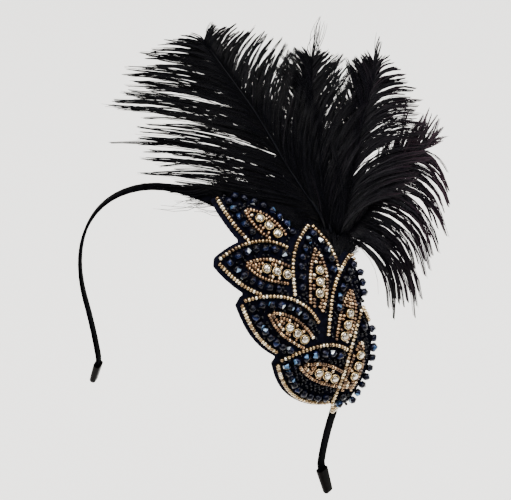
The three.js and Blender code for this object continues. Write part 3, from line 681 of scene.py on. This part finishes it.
def finish_model(piece):
    """Takes a model bead out of the scene as its points and faces."""
    points = np.empty(len(piece.data.vertices) * 3)
    piece.data.vertices.foreach_get("co", points)
    faces = [tuple(face.vertices) for face in piece.data.polygons]
    bpy.data.objects.remove(piece)
    return points.reshape(-1, 3), faces


def seed_bead():
    bpy.ops.object.select_all(action="DESELECT")
    bpy.ops.mesh.primitive_torus_add(major_segments=8, minor_segments=5, major_radius=0.56, minor_radius=0.44)
    bpy.ops.object.mode_set(mode="EDIT")
    bpy.ops.mesh.select_all(action="SELECT")
    bpy.ops.transform.resize(value=(1, 1, 1.45))
    bpy.ops.object.mode_set(mode="OBJECT")
    return finish_model(bpy.context.object)


SEED = seed_bead()
print("Faces of a seed bead:", len(SEED[1]))

# %% [markdown]
# A cut bead is pressed and fire-polished into two cones, base to base. A sphere with flat faces
# would lose the sharp girdle, so a six-sided drum is cut round its middle and that ring is drawn
# outward.

# %% Model a cut bead
CUT_END = 0.42


def cut_bead():
    """A bicone: a small cylinder, cut round its middle, with that ring drawn outward."""
    bpy.ops.object.select_all(action="DESELECT")
    bpy.ops.mesh.primitive_cylinder_add(vertices=6, radius=CUT_END, depth=1.84)
    bpy.ops.object.mode_set(mode="EDIT")
    bpy.ops.mesh.select_all(action="SELECT")
    bpy.ops.mesh.bisect(plane_co=(0, 0, 0), plane_no=(0, 0, 1))
    bpy.ops.transform.resize(value=(1 / CUT_END, 1 / CUT_END, 1))
    bpy.ops.object.mode_set(mode="OBJECT")
    return finish_model(bpy.context.object)


CUT = cut_bead()
print("Faces of a cut bead:", len(CUT[1]))

# %% [markdown]
# A stone is cut with a flat table and rings of facets round it, and sits in a stamped metal cup. A
# drum bevelled twice at its top edge gives both rings at once. The cup is a second drum with its
# top inset and pressed down, so that a rim stands round the stone.

# %% Model a stone and its cup


def cut_stone():
    """A chaton: a drum whose top edge is bevelled twice, for the table and two rings of facets."""
    bpy.ops.object.select_all(action="DESELECT")
    bpy.ops.mesh.primitive_cylinder_add(vertices=12, radius=0.93, depth=1.0, location=(0, 0, 0.98))
    bpy.ops.object.transform_apply(location=True, rotation=False, scale=False)
    stone = bpy.context.object
    for face in stone.data.polygons:
        face.select = face.normal.z > 0.9
    bpy.ops.object.mode_set(mode="EDIT")
    bpy.ops.mesh.select_mode(type="FACE")
    bpy.ops.mesh.bevel(offset=0.5, offset_type="OFFSET", segments=2, profile=0.42, affect="EDGES")
    bpy.ops.object.mode_set(mode="OBJECT")
    return finish_model(stone)


def stone_cup():
    """A stamped cup: a drum with its top face inset and pressed down to leave a rim."""
    bpy.ops.object.select_all(action="DESELECT")
    bpy.ops.mesh.primitive_cylinder_add(vertices=16, radius=1.0, depth=1.05, location=(0, 0, 0.525))
    bpy.ops.object.transform_apply(location=True, rotation=False, scale=False)
    cup = bpy.context.object
    for face in cup.data.polygons:
        face.select = face.normal.z > 0.9
    bpy.ops.object.mode_set(mode="EDIT")
    bpy.ops.mesh.select_mode(type="FACE")
    bpy.ops.mesh.inset(thickness=0.12)
    bpy.ops.mesh.extrude_region_move(TRANSFORM_OT_translate={"value": (0, 0, -0.25)})
    bpy.ops.object.mode_set(mode="OBJECT")
    return finish_model(cup)


STONE = cut_stone()
CUP = stone_cup()
print("Faces of a stone and of its cup:", len(STONE[1]), len(CUP[1]))

# %% [markdown]
# More than a thousand beads would make as many objects, and each would slow the scene. So all
# copies of one row are joined in one mesh, which arrays of points and corners fill at once.


# %% Copy a model to many places
def copies(name, model, places, axes, sizes, tones):
    """One joined mesh of a model at many places. axes holds each copy's x, y and z directions.

    tones holds one number for each copy, or a row of numbers, one for each of its faces.
    """
    points, faces = model
    moved = np.einsum("pk,nkj->npj", points, axes * np.asarray(sizes)[:, None, None]) + places[:, None]
    count = len(points)
    lengths = np.array([len(face) for face in faces])
    corners = np.concatenate([np.array(face) for face in faces])
    all_corners = (corners[None] + count * np.arange(len(places))[:, None]).ravel()
    mesh = bpy.data.meshes.new(name)
    mesh.vertices.add(count * len(places))
    mesh.vertices.foreach_set("co", (moved * MM).ravel())
    mesh.loops.add(len(all_corners))
    mesh.loops.foreach_set("vertex_index", all_corners)
    mesh.polygons.add(len(faces) * len(places))
    starts = np.tile(np.concatenate([[0], np.cumsum(lengths)[:-1]]), len(places))
    starts += np.repeat(np.arange(len(places)) * lengths.sum(), len(faces))
    mesh.polygons.foreach_set("loop_start", starts)
    if np.ndim(tones) == 2:
        tone = mesh.attributes.new("tone", "FLOAT", "FACE")
        tone.data.foreach_set("value", np.ravel(tones))
    else:
        tone = mesh.attributes.new("tone", "FLOAT", "POINT")
        tone.data.foreach_set("value", np.repeat(tones, count))
    mesh.update(calc_edges=True)
    piece = bpy.data.objects.new(name, mesh)
    bpy.context.collection.objects.link(piece)
    bpy.ops.object.select_all(action="DESELECT")
    piece.select_set(True)
    bpy.context.view_layer.objects.active = piece
    return piece


def bead_axes(down, across, out, headings, wobble):
    """Axes of beads whose hole runs along a heading in the plan, each turned a little at random."""
    headings = np.asarray(headings) + rng.normal(0, wobble, len(headings))
    along = down * np.cos(headings)[:, None] + across * np.sin(headings)[:, None]
    tilt = rng.normal(0, wobble, len(headings))[:, None]
    along = along * np.cos(tilt) + out * np.sin(tilt)
    side = np.cross(out, along)
    side /= np.linalg.norm(side, axis=1)[:, None]
    return np.stack([side, np.cross(along, side), along], 1)


# %% Thread beads on a line
def spaced(line, pitch):
    """Places at an even pitch along a line of flat points, and the heading of the line there."""
    steps = np.linalg.norm(np.diff(line, axis=0), axis=1)
    run = np.concatenate([[0], np.cumsum(steps)])
    count = max(2, int(round(run[-1] / pitch)))
    at = (np.arange(count) + 0.5) * run[-1] / count
    spots = np.column_stack([np.interp(at, run, line[:, k]) for k in (0, 1)])
    before, after = [np.column_stack([np.interp(at + step, run, line[:, k]) for k in (0, 1)])
                     for step in (-0.2, 0.2)]
    ahead = after - before
    return spots, np.arctan2(ahead[:, 1], ahead[:, 0])


def uncovered(spots, loops, clearance):
    keep = np.ones(len(spots), bool)
    for loop in loops:
        keep &= distance_to(loop, spots) > clearance
    return keep


def sew(name, model, spots, headings, height, sizes, tones, wobble=0.12):
    foot, down, across, out = head_frames(spots[:, 0], spots[:, 1])
    places = foot + out * np.asarray(height)[:, None]
    return copies(name, model, places, bead_axes(down, across, out, headings, wobble), sizes, tones)


# %% [markdown]
# ### Gold rows along the leaves
#
# Each leaf is edged by one row of gold seed beads, backstitched along its outline. A leaf that
# lies under another loses its row there.

# %% Sew the outline rows
SEED_RADIUS = 1.04
SEED_PITCH = 1.52
GOLD_LIFT = 0.95

for index, (leaf, row) in enumerate(zip(leaves, LEAVES)):
    lines = []
    for side, run in ((-1, row[6]), (1, row[7])):
        if run > 0:
            lines.append(leaf.edge(side, np.linspace(0.0, run, 40), 0.0))
    if row[0] == "7":
        foot_of_row = leaf.point(leaf.length - 1, -leaf.half[-1] * LEAF_ROOT_SHARE)
        lines.append(np.array([foot_of_row, foot_of_row + [6.5, 0.6]]))
        lines.append(np.array([foot_of_row + [2.5, 1.7], foot_of_row + [6.2, 2.2]]))
    parts = [spaced(line, SEED_PITCH) for line in lines]
    spots = np.vstack([part[0] for part in parts])
    headings = np.concatenate([part[1] for part in parts])
    keep = uncovered(spots, cover_loops(index), 0.1)
    spots, headings = spots[keep], headings[keep]
    count = len(spots)
    heights = BEAD_BASE + GOLD_LIFT + rng.normal(0, 0.08, count)
    # The random tones run from painted shade to painted highlight.
    piece = sew(f"gold_row_{row[0]}", SEED, spots, headings, heights,
                rng.normal(SEED_RADIUS, 0.04, count), rng.beta(1.4, 1.2, count))
    bpy.ops.object.shade_smooth()
    dress(piece, gold_glass, "gold_beads", f"outline_{row[0]}")

# %% [markdown]
# ### The hearts of the leaves
#
# In the middle of each leaf, two rows of copper-gold beads run round three stones. They meet at
# the tip in a small bed of beads and stay open towards the root.

# %% Sew the hearts
STONE_RADIUS = 2.0
STONE_PITCH = 4.6
HEART_LIFT = 0.85


def stone_spots(leaf, row):
    along = row[10] * leaf.length + np.array([-1, 0, 1]) * STONE_PITCH
    return leaf.point(along, np.full(3, row[9] * LEAF_HALF_WIDTH))


for index, (leaf, heart, row) in enumerate(zip(leaves, hearts, LEAVES)):
    lines = []
    for inset, last in ((0.75, 1.0), (2.5, 0.96)):
        for side in (-1, 1):
            lines.append(heart.edge(side, np.linspace(0.02, last, 40), inset))
    lines.append(heart.point(np.linspace(2.5, 0.45 * heart.length, 9), np.zeros(9)))
    parts = [spaced(line, 0.9 * SEED_PITCH) for line in lines if len(line) > 2]
    spots = np.vstack([part[0] for part in parts])
    headings = np.concatenate([part[1] for part in parts])
    stones = stone_spots(leaf, row)
    keep = uncovered(spots, cover_loops(index), 0.5)
    keep &= np.linalg.norm(spots[:, None] - stones[None], axis=-1).min(1) > STONE_RADIUS + 0.55
    spots, headings = spots[keep], headings[keep]
    # Where rows run together, a bead that would sit in another is left out.
    chosen = []
    for i in range(len(spots)):
        if all(np.linalg.norm(spots[i] - spots[j]) > 1.1 for j in chosen):
            chosen.append(i)
    spots, headings = spots[chosen], headings[chosen]
    count = len(spots)
    heights = BEAD_BASE + HEART_LIFT + rng.normal(0, 0.08, count)
    # The random tones run from painted shade to painted highlight.
    piece = sew(f"heart_rows_{row[0]}", SEED, spots, headings, heights,
                rng.normal(0.98, 0.04, count), rng.beta(1.1, 1.3, count), 0.12)
    bpy.ops.object.shade_smooth()
    dress(piece, copper_glass, "copper_beads", f"heart_{row[0]}")

# %% [markdown]
# ### Stones
#
# Three foiled stones stand in a row in each heart, in cups that are sewn down. Each is turned by a
# random angle, as they are when set by hand, and each facet keeps its own random tone, which paints
# the reflection of the foil seen through the glass.

# %% Set the stones
STONE_SIZE = 1.92
CUP_LIFT = 0.3
for index, (leaf, row) in enumerate(zip(leaves, LEAVES)):
    spots = stone_spots(leaf, row)
    nodes = [f"stone_{row[0]}_{i}" for i in (1, 2, 3)]
    headings = rng.uniform(0, 6.28, 3)
    foot, down, across, out = head_frames(spots[:, 0], spots[:, 1])
    along = down * np.cos(headings)[:, None] + across * np.sin(headings)[:, None]
    axes = np.stack([along, np.cross(out, along), out], 1)
    places = foot + out * (BEAD_BASE + CUP_LIFT)
    # Each facet of a stone gets a random tone, which paints a reflection of the foil.
    stones = copies(f"stones_{row[0]}", STONE, places, axes, np.full(3, STONE_SIZE),
                    rng.beta(1.3, 1.1, (3, len(STONE[1]))))
    dress(stones, crystal, "crystal", *nodes)
    cups = copies(f"cups_{row[0]}", CUP, places, axes, np.full(3, STONE_RADIUS), np.full(3, 0.5))
    dress(cups, cup_metal, "gold_beads")

# %% [markdown]
# ### Cut beads and black filling
#
# The ground between the rows is filled with black seed beads, and faceted beads stand out of it.
# Their glints are painted: a few facets, chosen at random, take a bright blue-white tone.

# %% Scatter the cut beads
CUT_RADIUS = 1.9
CUT_LIFT = 1.85
CUT_SPACING = 3.85


def row_loops(leaf, row):
    """The leaf's own gold rows, as lines that other beads keep clear of."""
    return [leaf.edge(side, np.linspace(0, run, 30)) for side, run in ((-1, row[6]), (1, row[7])) if run > 0]


def far_from_lines(spots, lines, clearance):
    keep = np.ones(len(spots), bool)
    for line in lines:
        keep &= np.linalg.norm(spots[:, None] - line[None], axis=-1).min(1) > clearance
    return keep


cut_spots = []
for index, (leaf, heart, row) in enumerate(zip(leaves, hearts, LEAVES)):
    spots = []
    covers = [heart.loop(0, 0)] + cover_loops(index)
    for side, run in ((-1, row[6]), (1, row[7])):
        inset = 1 + 0.45 + CUT_RADIUS if run > 0.5 else 0.4
        for spot in leaf.edge(side, np.linspace(0.01, 0.99, 90), inset):
            near = [np.linalg.norm(spot - other) < CUT_SPACING for other in spots]
            clear = uncovered(spot[None], covers, CUT_RADIUS * 0.9)[0]
            free = far_from_lines(spot[None], row_loops(leaf, row), CUT_RADIUS + 0.9)[0]
            if clear and free and not any(near):
                spots.append(spot)
    spots = np.array(spots)
    cut_spots.append(spots)
    count = len(spots)
    # Each facet takes a random tone, and the few high ones are painted glints.
    piece = sew(f"cut_beads_{row[0]}", CUT, spots, rng.uniform(0, 6.28, count),
                np.full(count, BEAD_BASE + CUT_LIFT),
                rng.normal(CUT_RADIUS, 0.06, count), rng.beta(0.75, 1.75, (count, len(CUT[1]))), 0.35)
    dress(piece, cut_glass_painted_glints, "cut_beads", f"field_{row[0]}")

# %% [markdown]
# The ground is sewn with black seed beads at random angles. A plain grid would show as rows, so
# each place of the grid is moved a little, and places too near to other beads are dropped.

# %% Fill the ground
FILL_SPACING = 1.75
FILL_LIFT = 0.7
FILL_RADIUS = 0.8
black_glass = bead_material("black_seed_glass", [(0.0, "#020204"), (0.8, "#0a0a14"), (1.0, "#34324a")],
                            Roughness=0.15, Specular_IOR_Level=0.15, Coat_Weight=0.1, Coat_Roughness=0.05)
for index, (leaf, heart, row) in enumerate(zip(leaves, hearts, LEAVES)):
    grid = np.stack(np.meshgrid(np.arange(-45, 45, FILL_SPACING), np.arange(-30, 30, FILL_SPACING)), -1)
    grid = grid.reshape(-1, 2)
    grid = grid + leaf.point(leaf.length / 2, 0.0) + rng.normal(0, 0.22, grid.shape)
    inside = distance_to(leaf.loop(-0.8 if row[6] > 0.5 else 0.0, -0.8 if row[7] > 0.5 else 0.6), grid) < 0
    keep = inside & uncovered(grid, [heart.loop(0, 0)] + cover_loops(index), 0.6)
    keep &= far_from_lines(grid, row_loops(leaf, row), 1.5)
    keep &= np.linalg.norm(grid[:, None] - cut_spots[index][None], axis=-1).min(1) > CUT_RADIUS + 0.35
    spots = grid[keep]
    count = len(spots)
    piece = sew(f"black_fill_{row[0]}", SEED, spots, rng.uniform(0, 6.28, count),
                np.full(count, BEAD_BASE + FILL_LIFT),
                rng.normal(FILL_RADIUS, 0.05, count), rng.beta(1, 3, count), 0.5)
    bpy.ops.object.shade_smooth()
    dress(piece, black_glass, "cut_beads")

# %% [markdown]
# ## Plumes
#
# An ostrich plume is a shaft with thousands of long loose barbs, each fringed with down. Barbs
# cling to each other towards their tips, which makes the locks. Each barb is modelled as a tapered
# strand with three sides, all strands of a plume in one mesh, because curves this many are lighter
# as plain faces.

# %% The plume's own space
PLUME_TURN = math.radians(35)
PLUME_TILT = math.radians(39)
PLUME_FOOT = np.array([54, -24, -11])
PLUME_CURL = 0.0022
PLUME_CREST = np.array([-45, 40])
plume_right = np.array([math.cos(PLUME_TURN), math.sin(PLUME_TURN), 0])
plume_out = np.array([math.sin(PLUME_TURN) * math.cos(PLUME_TILT),
                      -math.cos(PLUME_TURN) * math.cos(PLUME_TILT), math.sin(PLUME_TILT)])
plume_up = np.cross(plume_out, plume_right)


def in_plume(points):
    """Plume (right, up, depth) in millimetres to places in millimetres: the sheet curls back at its edges."""
    flat = points[..., :2]
    depth = points[..., 2] + PLUME_CURL * ((PLUME_CREST ** 2).sum() - ((flat - PLUME_CREST) ** 2).sum(-1))
    return ((PLUME_FOOT[0] + points[..., 0:1]) * plume_right
            + (PLUME_FOOT[1] + points[..., 1:2]) * plume_up
            + (PLUME_FOOT[2] + depth[..., None]) * plume_out)


def spline(points, t):
    """A smooth line through a few chosen points, at shares t of the way."""
    points = np.asarray(points, float)
    last = len(points) - 1
    place = np.clip(np.asarray(t) * last, 0, last - 1e-9)
    i = place.astype(int)
    w = (place - i)[..., None]
    p0, p1 = points[np.maximum(i - 1, 0)], points[i]
    p2, p3 = points[i + 1], points[np.minimum(i + 2, last)]
    v0, v1 = (p2 - p0) / 2, (p3 - p1) / 2
    return (2 * p1 - 2 * p2 + v0 + v1) * w ** 3 + (-3 * p1 + 3 * p2 - 2 * v0 - v1) * w ** 2 + v0 * w + p1


print("Plume's up direction:", plume_up.round(2))


# %% Strands
def strands(name, lines, radii, tones, sides=3):
    """Closed tapered strands along many lines of points at once, in millimetres."""
    count, steps, _ = lines.shape
    ahead = np.gradient(lines, axis=1)
    ahead /= np.maximum(np.linalg.norm(ahead, axis=-1, keepdims=True), 1e-9)
    across = np.cross(ahead, plume_out)
    across /= np.maximum(np.linalg.norm(across, axis=-1, keepdims=True), 1e-9)
    over = np.cross(across, ahead)
    angles = 2 * np.pi * np.arange(sides) / sides
    ring = across[:, :, None] * np.cos(angles)[:, None] + over[:, :, None] * np.sin(angles)[:, None]
    points = lines[:, :, None] + ring * radii[:, :, None, None]
    each = steps * sides
    i = np.arange(steps - 1)[:, None] * sides
    k = np.arange(sides)[None]
    n = (k + 1) % sides
    quads = np.stack([i + k, i + n, i + n + sides, i + k + sides], -1).reshape(-1)
    ends = np.concatenate([np.arange(sides)[::-1], (steps - 1) * sides + np.arange(sides)])
    one = np.concatenate([quads, ends])
    corners = (one[None] + each * np.arange(count)[:, None]).ravel()
    lengths = np.tile(np.concatenate([np.full((steps - 1) * sides, 4), [sides, sides]]), count)
    mesh = bpy.data.meshes.new(name)
    mesh.vertices.add(count * each)
    mesh.vertices.foreach_set("co", (points * MM).ravel())
    mesh.loops.add(len(corners))
    mesh.loops.foreach_set("vertex_index", corners)
    mesh.polygons.add(len(lengths))
    mesh.polygons.foreach_set("loop_start", np.concatenate([[0], np.cumsum(lengths)[:-1]]))
    tone = mesh.attributes.new("tone", "FLOAT", "POINT")
    tone.data.foreach_set("value", np.repeat(tones, sides, axis=1).ravel())
    mesh.update(calc_edges=True)
    piece = bpy.data.objects.new(name, mesh)
    bpy.context.collection.objects.link(piece)
    bpy.ops.object.select_all(action="DESELECT")
    piece.select_set(True)
    bpy.context.view_layer.objects.active = piece
    return piece


# %% [markdown]
# ### Four feathers
#
# Each feather keeps the outline that the photograph shows: a few chosen points for its spine and a
# few for where the barbs' tips end. The thousands of barbs between them are worked out, so the
# table stays short.

# %% The feather table
# name; the spine's points (right, up, depth) from where the quill leaves the felt; then three rows,
# for the left side, the right side and the crown: where the barbs' tips lie (right, up) at even
# places from foot to tip, how far their middles bow out as a share of their length, how many there
# are, how many gather in a lock, where on the spine they begin, how uneven their lengths are, and
# how clearly the locks part: at 0 the barbs lie as they like, at 1 each lock is one clean strand.
FEATHERS = [
    ("1", [(-2, 9.9, 0.5), (-4.6, 16.9, 4), (-16.3, 35, 4), (-29.7, 58.5, 4), (-42.8, 77.9, 4),
           (-51.4, 90.6, 4)], [
        ([(-40, 25), (-88, 31), (-93, 54), (-92, 76), (-80, 87), (-58, 95)], -0.05, 1250, 12, 0, 0.38, 0.75),
        ([(-3, 49), (-9, 71), (-14, 89), (-27, 97), (-47, 98)], 0.1, 1150, 13, 0, 0.25, 0.6),
        ([(-62, 92), (-46, 99)], 0.03, 60, 5, 0.92, 0.4, 0.1)]),
    ("2", [(1.1, 7.3, 0.6), (-1.3, 19.8, 0), (-3.9, 39, 0), (-6, 58, 0), (-6.3, 72, 0), (-5, 80, 0)], [
        ([(-22, 43.5), (-29, 66), (-25, 84), (-16, 88), (-8, 88)], -0.07, 850, 13, 0, 0.45, 0.5),
        ([(12, 43), (17, 64.5), (13, 82), (8.3, 85), (-1, 88)], 0.07, 850, 13, 0, 0.4, 0.5),
        ([(-13, 99), (1, 101)], 0.02, 16, 3, 0.85, 0.1, 0.3)]),
    ("3", [(3.8, 5, 0.6), (6.4, 18.3, -4), (11.2, 39, -4), (16.5, 57, -4), (20.5, 69, -4), (22.5, 76, -4)], [
        ([(-0.3, 52), (2.4, 69.2), (8.6, 84), (14.4, 85.7), (19, 87)], -0.06, 850, 13, 0, 0.35, 0.5),
        ([(43, 28), (49, 47), (46, 63), (38, 76), (27, 87)], 0.15, 950, 14, 0, 0.45, 0.7),
        ([(17, 94), (26, 93)], 0.03, 24, 6, 0.88, 0.1, 0.5)]),
    ("4", [(6.1, 6.7, -3.5), (11, 10.8, -8), (18.3, 21.5, -8), (29.3, 32, -8), (38.6, 43, -8)], [
        ([(12, 28), (28, 52), (42, 63), (50, 65), (57, 50)], -0.06, 850, 14, 0, 0.5, 0.7),
        ([(34, -38), (45, -27), (55, -11), (58, 9), (58, 31)], 0.18, 760, 13, 0, 0.45, 0.85),
        ([(52, 60), (57, 48)], 0.03, 50, 5, 0.9, 0.4, 0.3)]),
]
# Loose wisps that hang below the first plume start on a line inside it.
WISP_LINE = [(-28, 27, 3), (-40, 31, 4)]
WISPS = ([(-60, 20), (-78, 24)], 0.06, 46, 4, 0, 0.4, 0.1)
BARB_POINTS = 7
SHARES = np.linspace(0, 1, BARB_POINTS)
# The first fifth of a barb lies close among its neighbours, and the rest is free to join a lock.
FREE = np.clip((SHARES - 0.2) / 0.8, 0, 1)
print("Barbs:", sum(row[2] for _, _, rows in FEATHERS for row in rows) + WISPS[2])


# %% One side of a feather
def vane(spine, tips, bow, count, clump, start, fray, gather):
    """Middle lines of one side's barbs in plume space: they fan from the spine and gather into locks."""
    share = np.clip(start + (1 - start) * (np.arange(count) + rng.uniform(-0.5, 0.5, count)) / count, 0, 1)
    lock = np.floor(np.arange(count) / clump + rng.uniform(-0.15, 0.15, count)).astype(int)
    lock -= lock.min()
    locks = lock.max() + 1
    root = spline(spine, share)
    places = np.linspace(0, 1, len(tips))
    run = np.column_stack([np.interp(share, places, np.array(tips)[:, k]) for k in (0, 1)]) - root[:, :2]
    # Locks and single barbs differ in reach and in heading, and a few barbs reach further.
    reach = rng.uniform(0.78, 1.08, locks)[lock] * (1 - fray * rng.beta(1.1, 2.2, count))
    reach[rng.choice(count, count // 30)] *= 1.12
    wild = 1.2 - gather
    turn = np.radians(rng.normal(0, 3.2 * wild, locks)[lock] + rng.normal(0, 2.4 * wild, count))
    run = reach[:, None] * np.column_stack([run[:, 0] * np.cos(turn) - run[:, 1] * np.sin(turn),
                                            run[:, 0] * np.sin(turn) + run[:, 1] * np.cos(turn)])
    length = np.linalg.norm(run, axis=1)
    beside = np.column_stack([-run[:, 1], run[:, 0]])
    curve = 4 * SHARES * (1 - SHARES)
    bows = bow + rng.normal(0, 0.04 * wild, locks)[lock] + rng.normal(0, 0.04 * wild, count)
    late = rng.normal(0, 0.03 * wild, count)[:, None] * np.sin(2 * np.pi * SHARES)
    lines = np.zeros((count, BARB_POINTS, 3))
    lines[:, :, :2] = (root[:, None, :2] + run[:, None] * SHARES[:, None]
                       + beside[:, None] * (bows[:, None] * curve + late)[..., None])
    lines[:, :, 2] = (root[:, None, 2] + rng.normal(0, 1.3, locks)[lock][:, None] * SHARES
                      + rng.normal(0, 1.2, count)[:, None] * SHARES
                      + rng.normal(0, 0.8, count)[:, None] * np.sin(3 * SHARES))
    # Barbs of one lock close up towards its middle barb, most of all at their tips.
    for k in range(locks):
        members = np.flatnonzero(lock == k)
        if len(members) > 2:
            own = rng.uniform(gather, 1.1, len(members))[:, None, None]
            pull = np.clip(0.95 * (FREE ** (1.3 - gather))[None, :, None] * own, 0, 0.96)
            lines[members] += (lines[members].mean(0) - lines[members]) * pull
    return lines, length


# %% Down on the barbs
def down_hairs(lines, length, count, reach):
    """Short fine hairs along the barbs, the down that makes a plume look soft."""
    which = rng.choice(len(lines), count, p=length / length.sum())
    t = rng.uniform(0.05, 0.4, count) * (BARB_POINTS - 1)
    i = np.minimum(t.astype(int), BARB_POINTS - 2)
    w = (t - i)[:, None]
    start = lines[which, i] * (1 - w) + lines[which, i + 1] * w
    ahead = lines[which, i + 1] - lines[which, i]
    heading = np.arctan2(ahead[:, 1], ahead[:, 0])
    heading += rng.choice([-1, 1], count) * np.radians(rng.uniform(18, 50, count))
    size = rng.uniform(0.5, 1.0, count) * reach
    hairs = np.zeros((count, 3, 3))
    for k in range(3):
        bow = heading + (k - 1) * 0.15
        hairs[:, k, 0] = start[:, 0] + size * k / 2 * np.cos(bow)
        hairs[:, k, 1] = start[:, 1] + size * k / 2 * np.sin(bow)
        hairs[:, k, 2] = start[:, 2] + size * k / 2 * rng.normal(0, 0.25, count)
    return hairs


# %% [markdown]
# A barb is thickest at the shaft and ends in a point. The feathers at the right are browner, where
# the light comes through them, so the tone rises to the right and towards the tips.

# %% Grow the plumes
DOWN_COUNT = 3600
DOWN_REACH = 2.6
SHAFT_POINTS = 24
for name, spine, rows in FEATHERS:
    groups = [vane(spine, *row) for row in rows]
    if name == "1":
        groups.append(vane(WISP_LINE, *WISPS))
    barbs = np.concatenate([group[0] for group in groups])
    lengths = np.concatenate([group[1] for group in groups])
    hairs = down_hairs(barbs, lengths, DOWN_COUNT, DOWN_REACH)
    taper = 0.16 * (1 - SHARES) ** 0.7 + 0.08
    thickness = rng.uniform(0.75, 1.25, len(barbs))[:, None] * taper[None]
    # The share of painted light shining through the barbs, which rises to the right.
    backlight_share = np.clip((barbs[:, :, 0] + 5) / 60, 0, 1)
    tones = 0.25 + 0.35 * backlight_share + 0.25 * SHARES * backlight_share + rng.normal(0, 0.12, len(barbs))[:, None]
    tones = np.clip(tones, 0, 1)
    piece = strands(f"barbs_{name}", in_plume(barbs), thickness, tones)
    hair_t = np.linspace(0, 1, 3)
    hair_thickness = np.full((len(hairs), 1), 1.0) * (0.05 * (1 - hair_t) + 0.02)[None]
    # The down is browner to the right too: painted light shining through it.
    hair_backlight_share = np.clip((hairs[:, :, 0] + 5) / 60, 0, 1)
    hair_tones = np.clip(0.3 + 0.5 * hair_backlight_share + rng.normal(0, 0.1, len(hairs))[:, None], 0, 1)
    down = strands(f"down_{name}", in_plume(hairs), hair_thickness, hair_tones)
    shaft_t = np.linspace(0, 1, SHAFT_POINTS)
    shaft_line = spline(spine, shaft_t)
    shaft_radii = (0.75 * (1 - shaft_t) + 0.2)[None]
    shaft_tones = np.full((1, SHAFT_POINTS), 0.3)
    shaft = strands(f"shaft_{name}", in_plume(shaft_line)[None], shaft_radii, shaft_tones, 6)
    piece = join_pieces([piece, down, shaft], f"plume_{name}")
    bpy.ops.object.shade_smooth()
    dress(piece, plume_black, "ostrich", f"feather_{name}")

# %% [markdown]
# ### Down at the foot
#
# The quills come out from under the back edge of the felt, and the soft short barbs at their feet
# spread over the head on both sides, so no quill shows and the felt's edge is lost in black down.

# %% Spread the down
# from and to: ranges of s, v and w in the flat plan, and how many barbs
DOWN = [
    ((46, 58), (23, 29), (4, 36), (17, 34), 1000),
    ((50, 62), (24, 31), (30, 66), (30, 48), 500),
    ((35, 44), (13, 18), (33, 47), (25, 33), 500),
    ((56, 64), (19, 25), (54, 66), (30, 40), 400),
    ((40, 50), (15, 21), (22, 42), (12.5, 19), 1000),
    ((14, 30), (9, 17), (-4, 14), (5, 14), 500),
]
spread = []
for from_s, from_v, to_s, to_v, count in DOWN:
    t = SHARES[None]
    start = np.stack([rng.uniform(*from_s, count), rng.uniform(*from_v, count)], -1)
    end = np.stack([rng.uniform(*to_s, count), rng.uniform(*to_v, count)], -1)
    flat = start[:, None] + (end - start)[:, None] * t[..., None]
    bow = rng.normal(1.0, 1.6, count)[:, None] * np.sin(np.pi * t)
    rise = 0.4 + rng.uniform(0.5, 3.5, count)[:, None] * t
    spread.append(np.concatenate([flat, rise[..., None]], -1) + np.stack([0 * bow, bow, 0 * bow], -1))
spread = np.concatenate(spread)
taper = 0.2 * (1 - SHARES) ** 0.8 + 0.04
thickness = rng.uniform(0.7, 1.2, len(spread))[:, None] * taper[None]
tones = np.clip(rng.normal(0.25, 0.12, len(spread)), 0, 1)[:, None] * np.ones((1, BARB_POINTS))
down = strands("foot_down", on_head(spread) / MM, thickness, tones)
bpy.ops.object.shade_smooth()
dress(down, plume_black, "ostrich")

# %% [markdown]
# ## The floor
#
# The background is plain white paper. A pale floor far enough below keeps the shadow soft, and a
# little light of its own keeps it as pale as lit paper without more lamps.

# %% Lay the floor
bpy.ops.object.select_all(action="DESELECT")
bpy.ops.mesh.primitive_plane_add(size=12, location=(0, 0, -0.42))
floor = bpy.context.object
floor.name = "floor"
paper, shader = new_material("white_paper", Roughness=0.9)
shader.inputs["Base Color"].default_value = linear("#fbfaf7")
shader.inputs["Emission Color"].default_value = linear("#fffdf9")
shader.inputs["Emission Strength"].default_value = 0.5
floor.data.materials.append(paper)
print("Floor in m below the crown:", -floor.location.z)
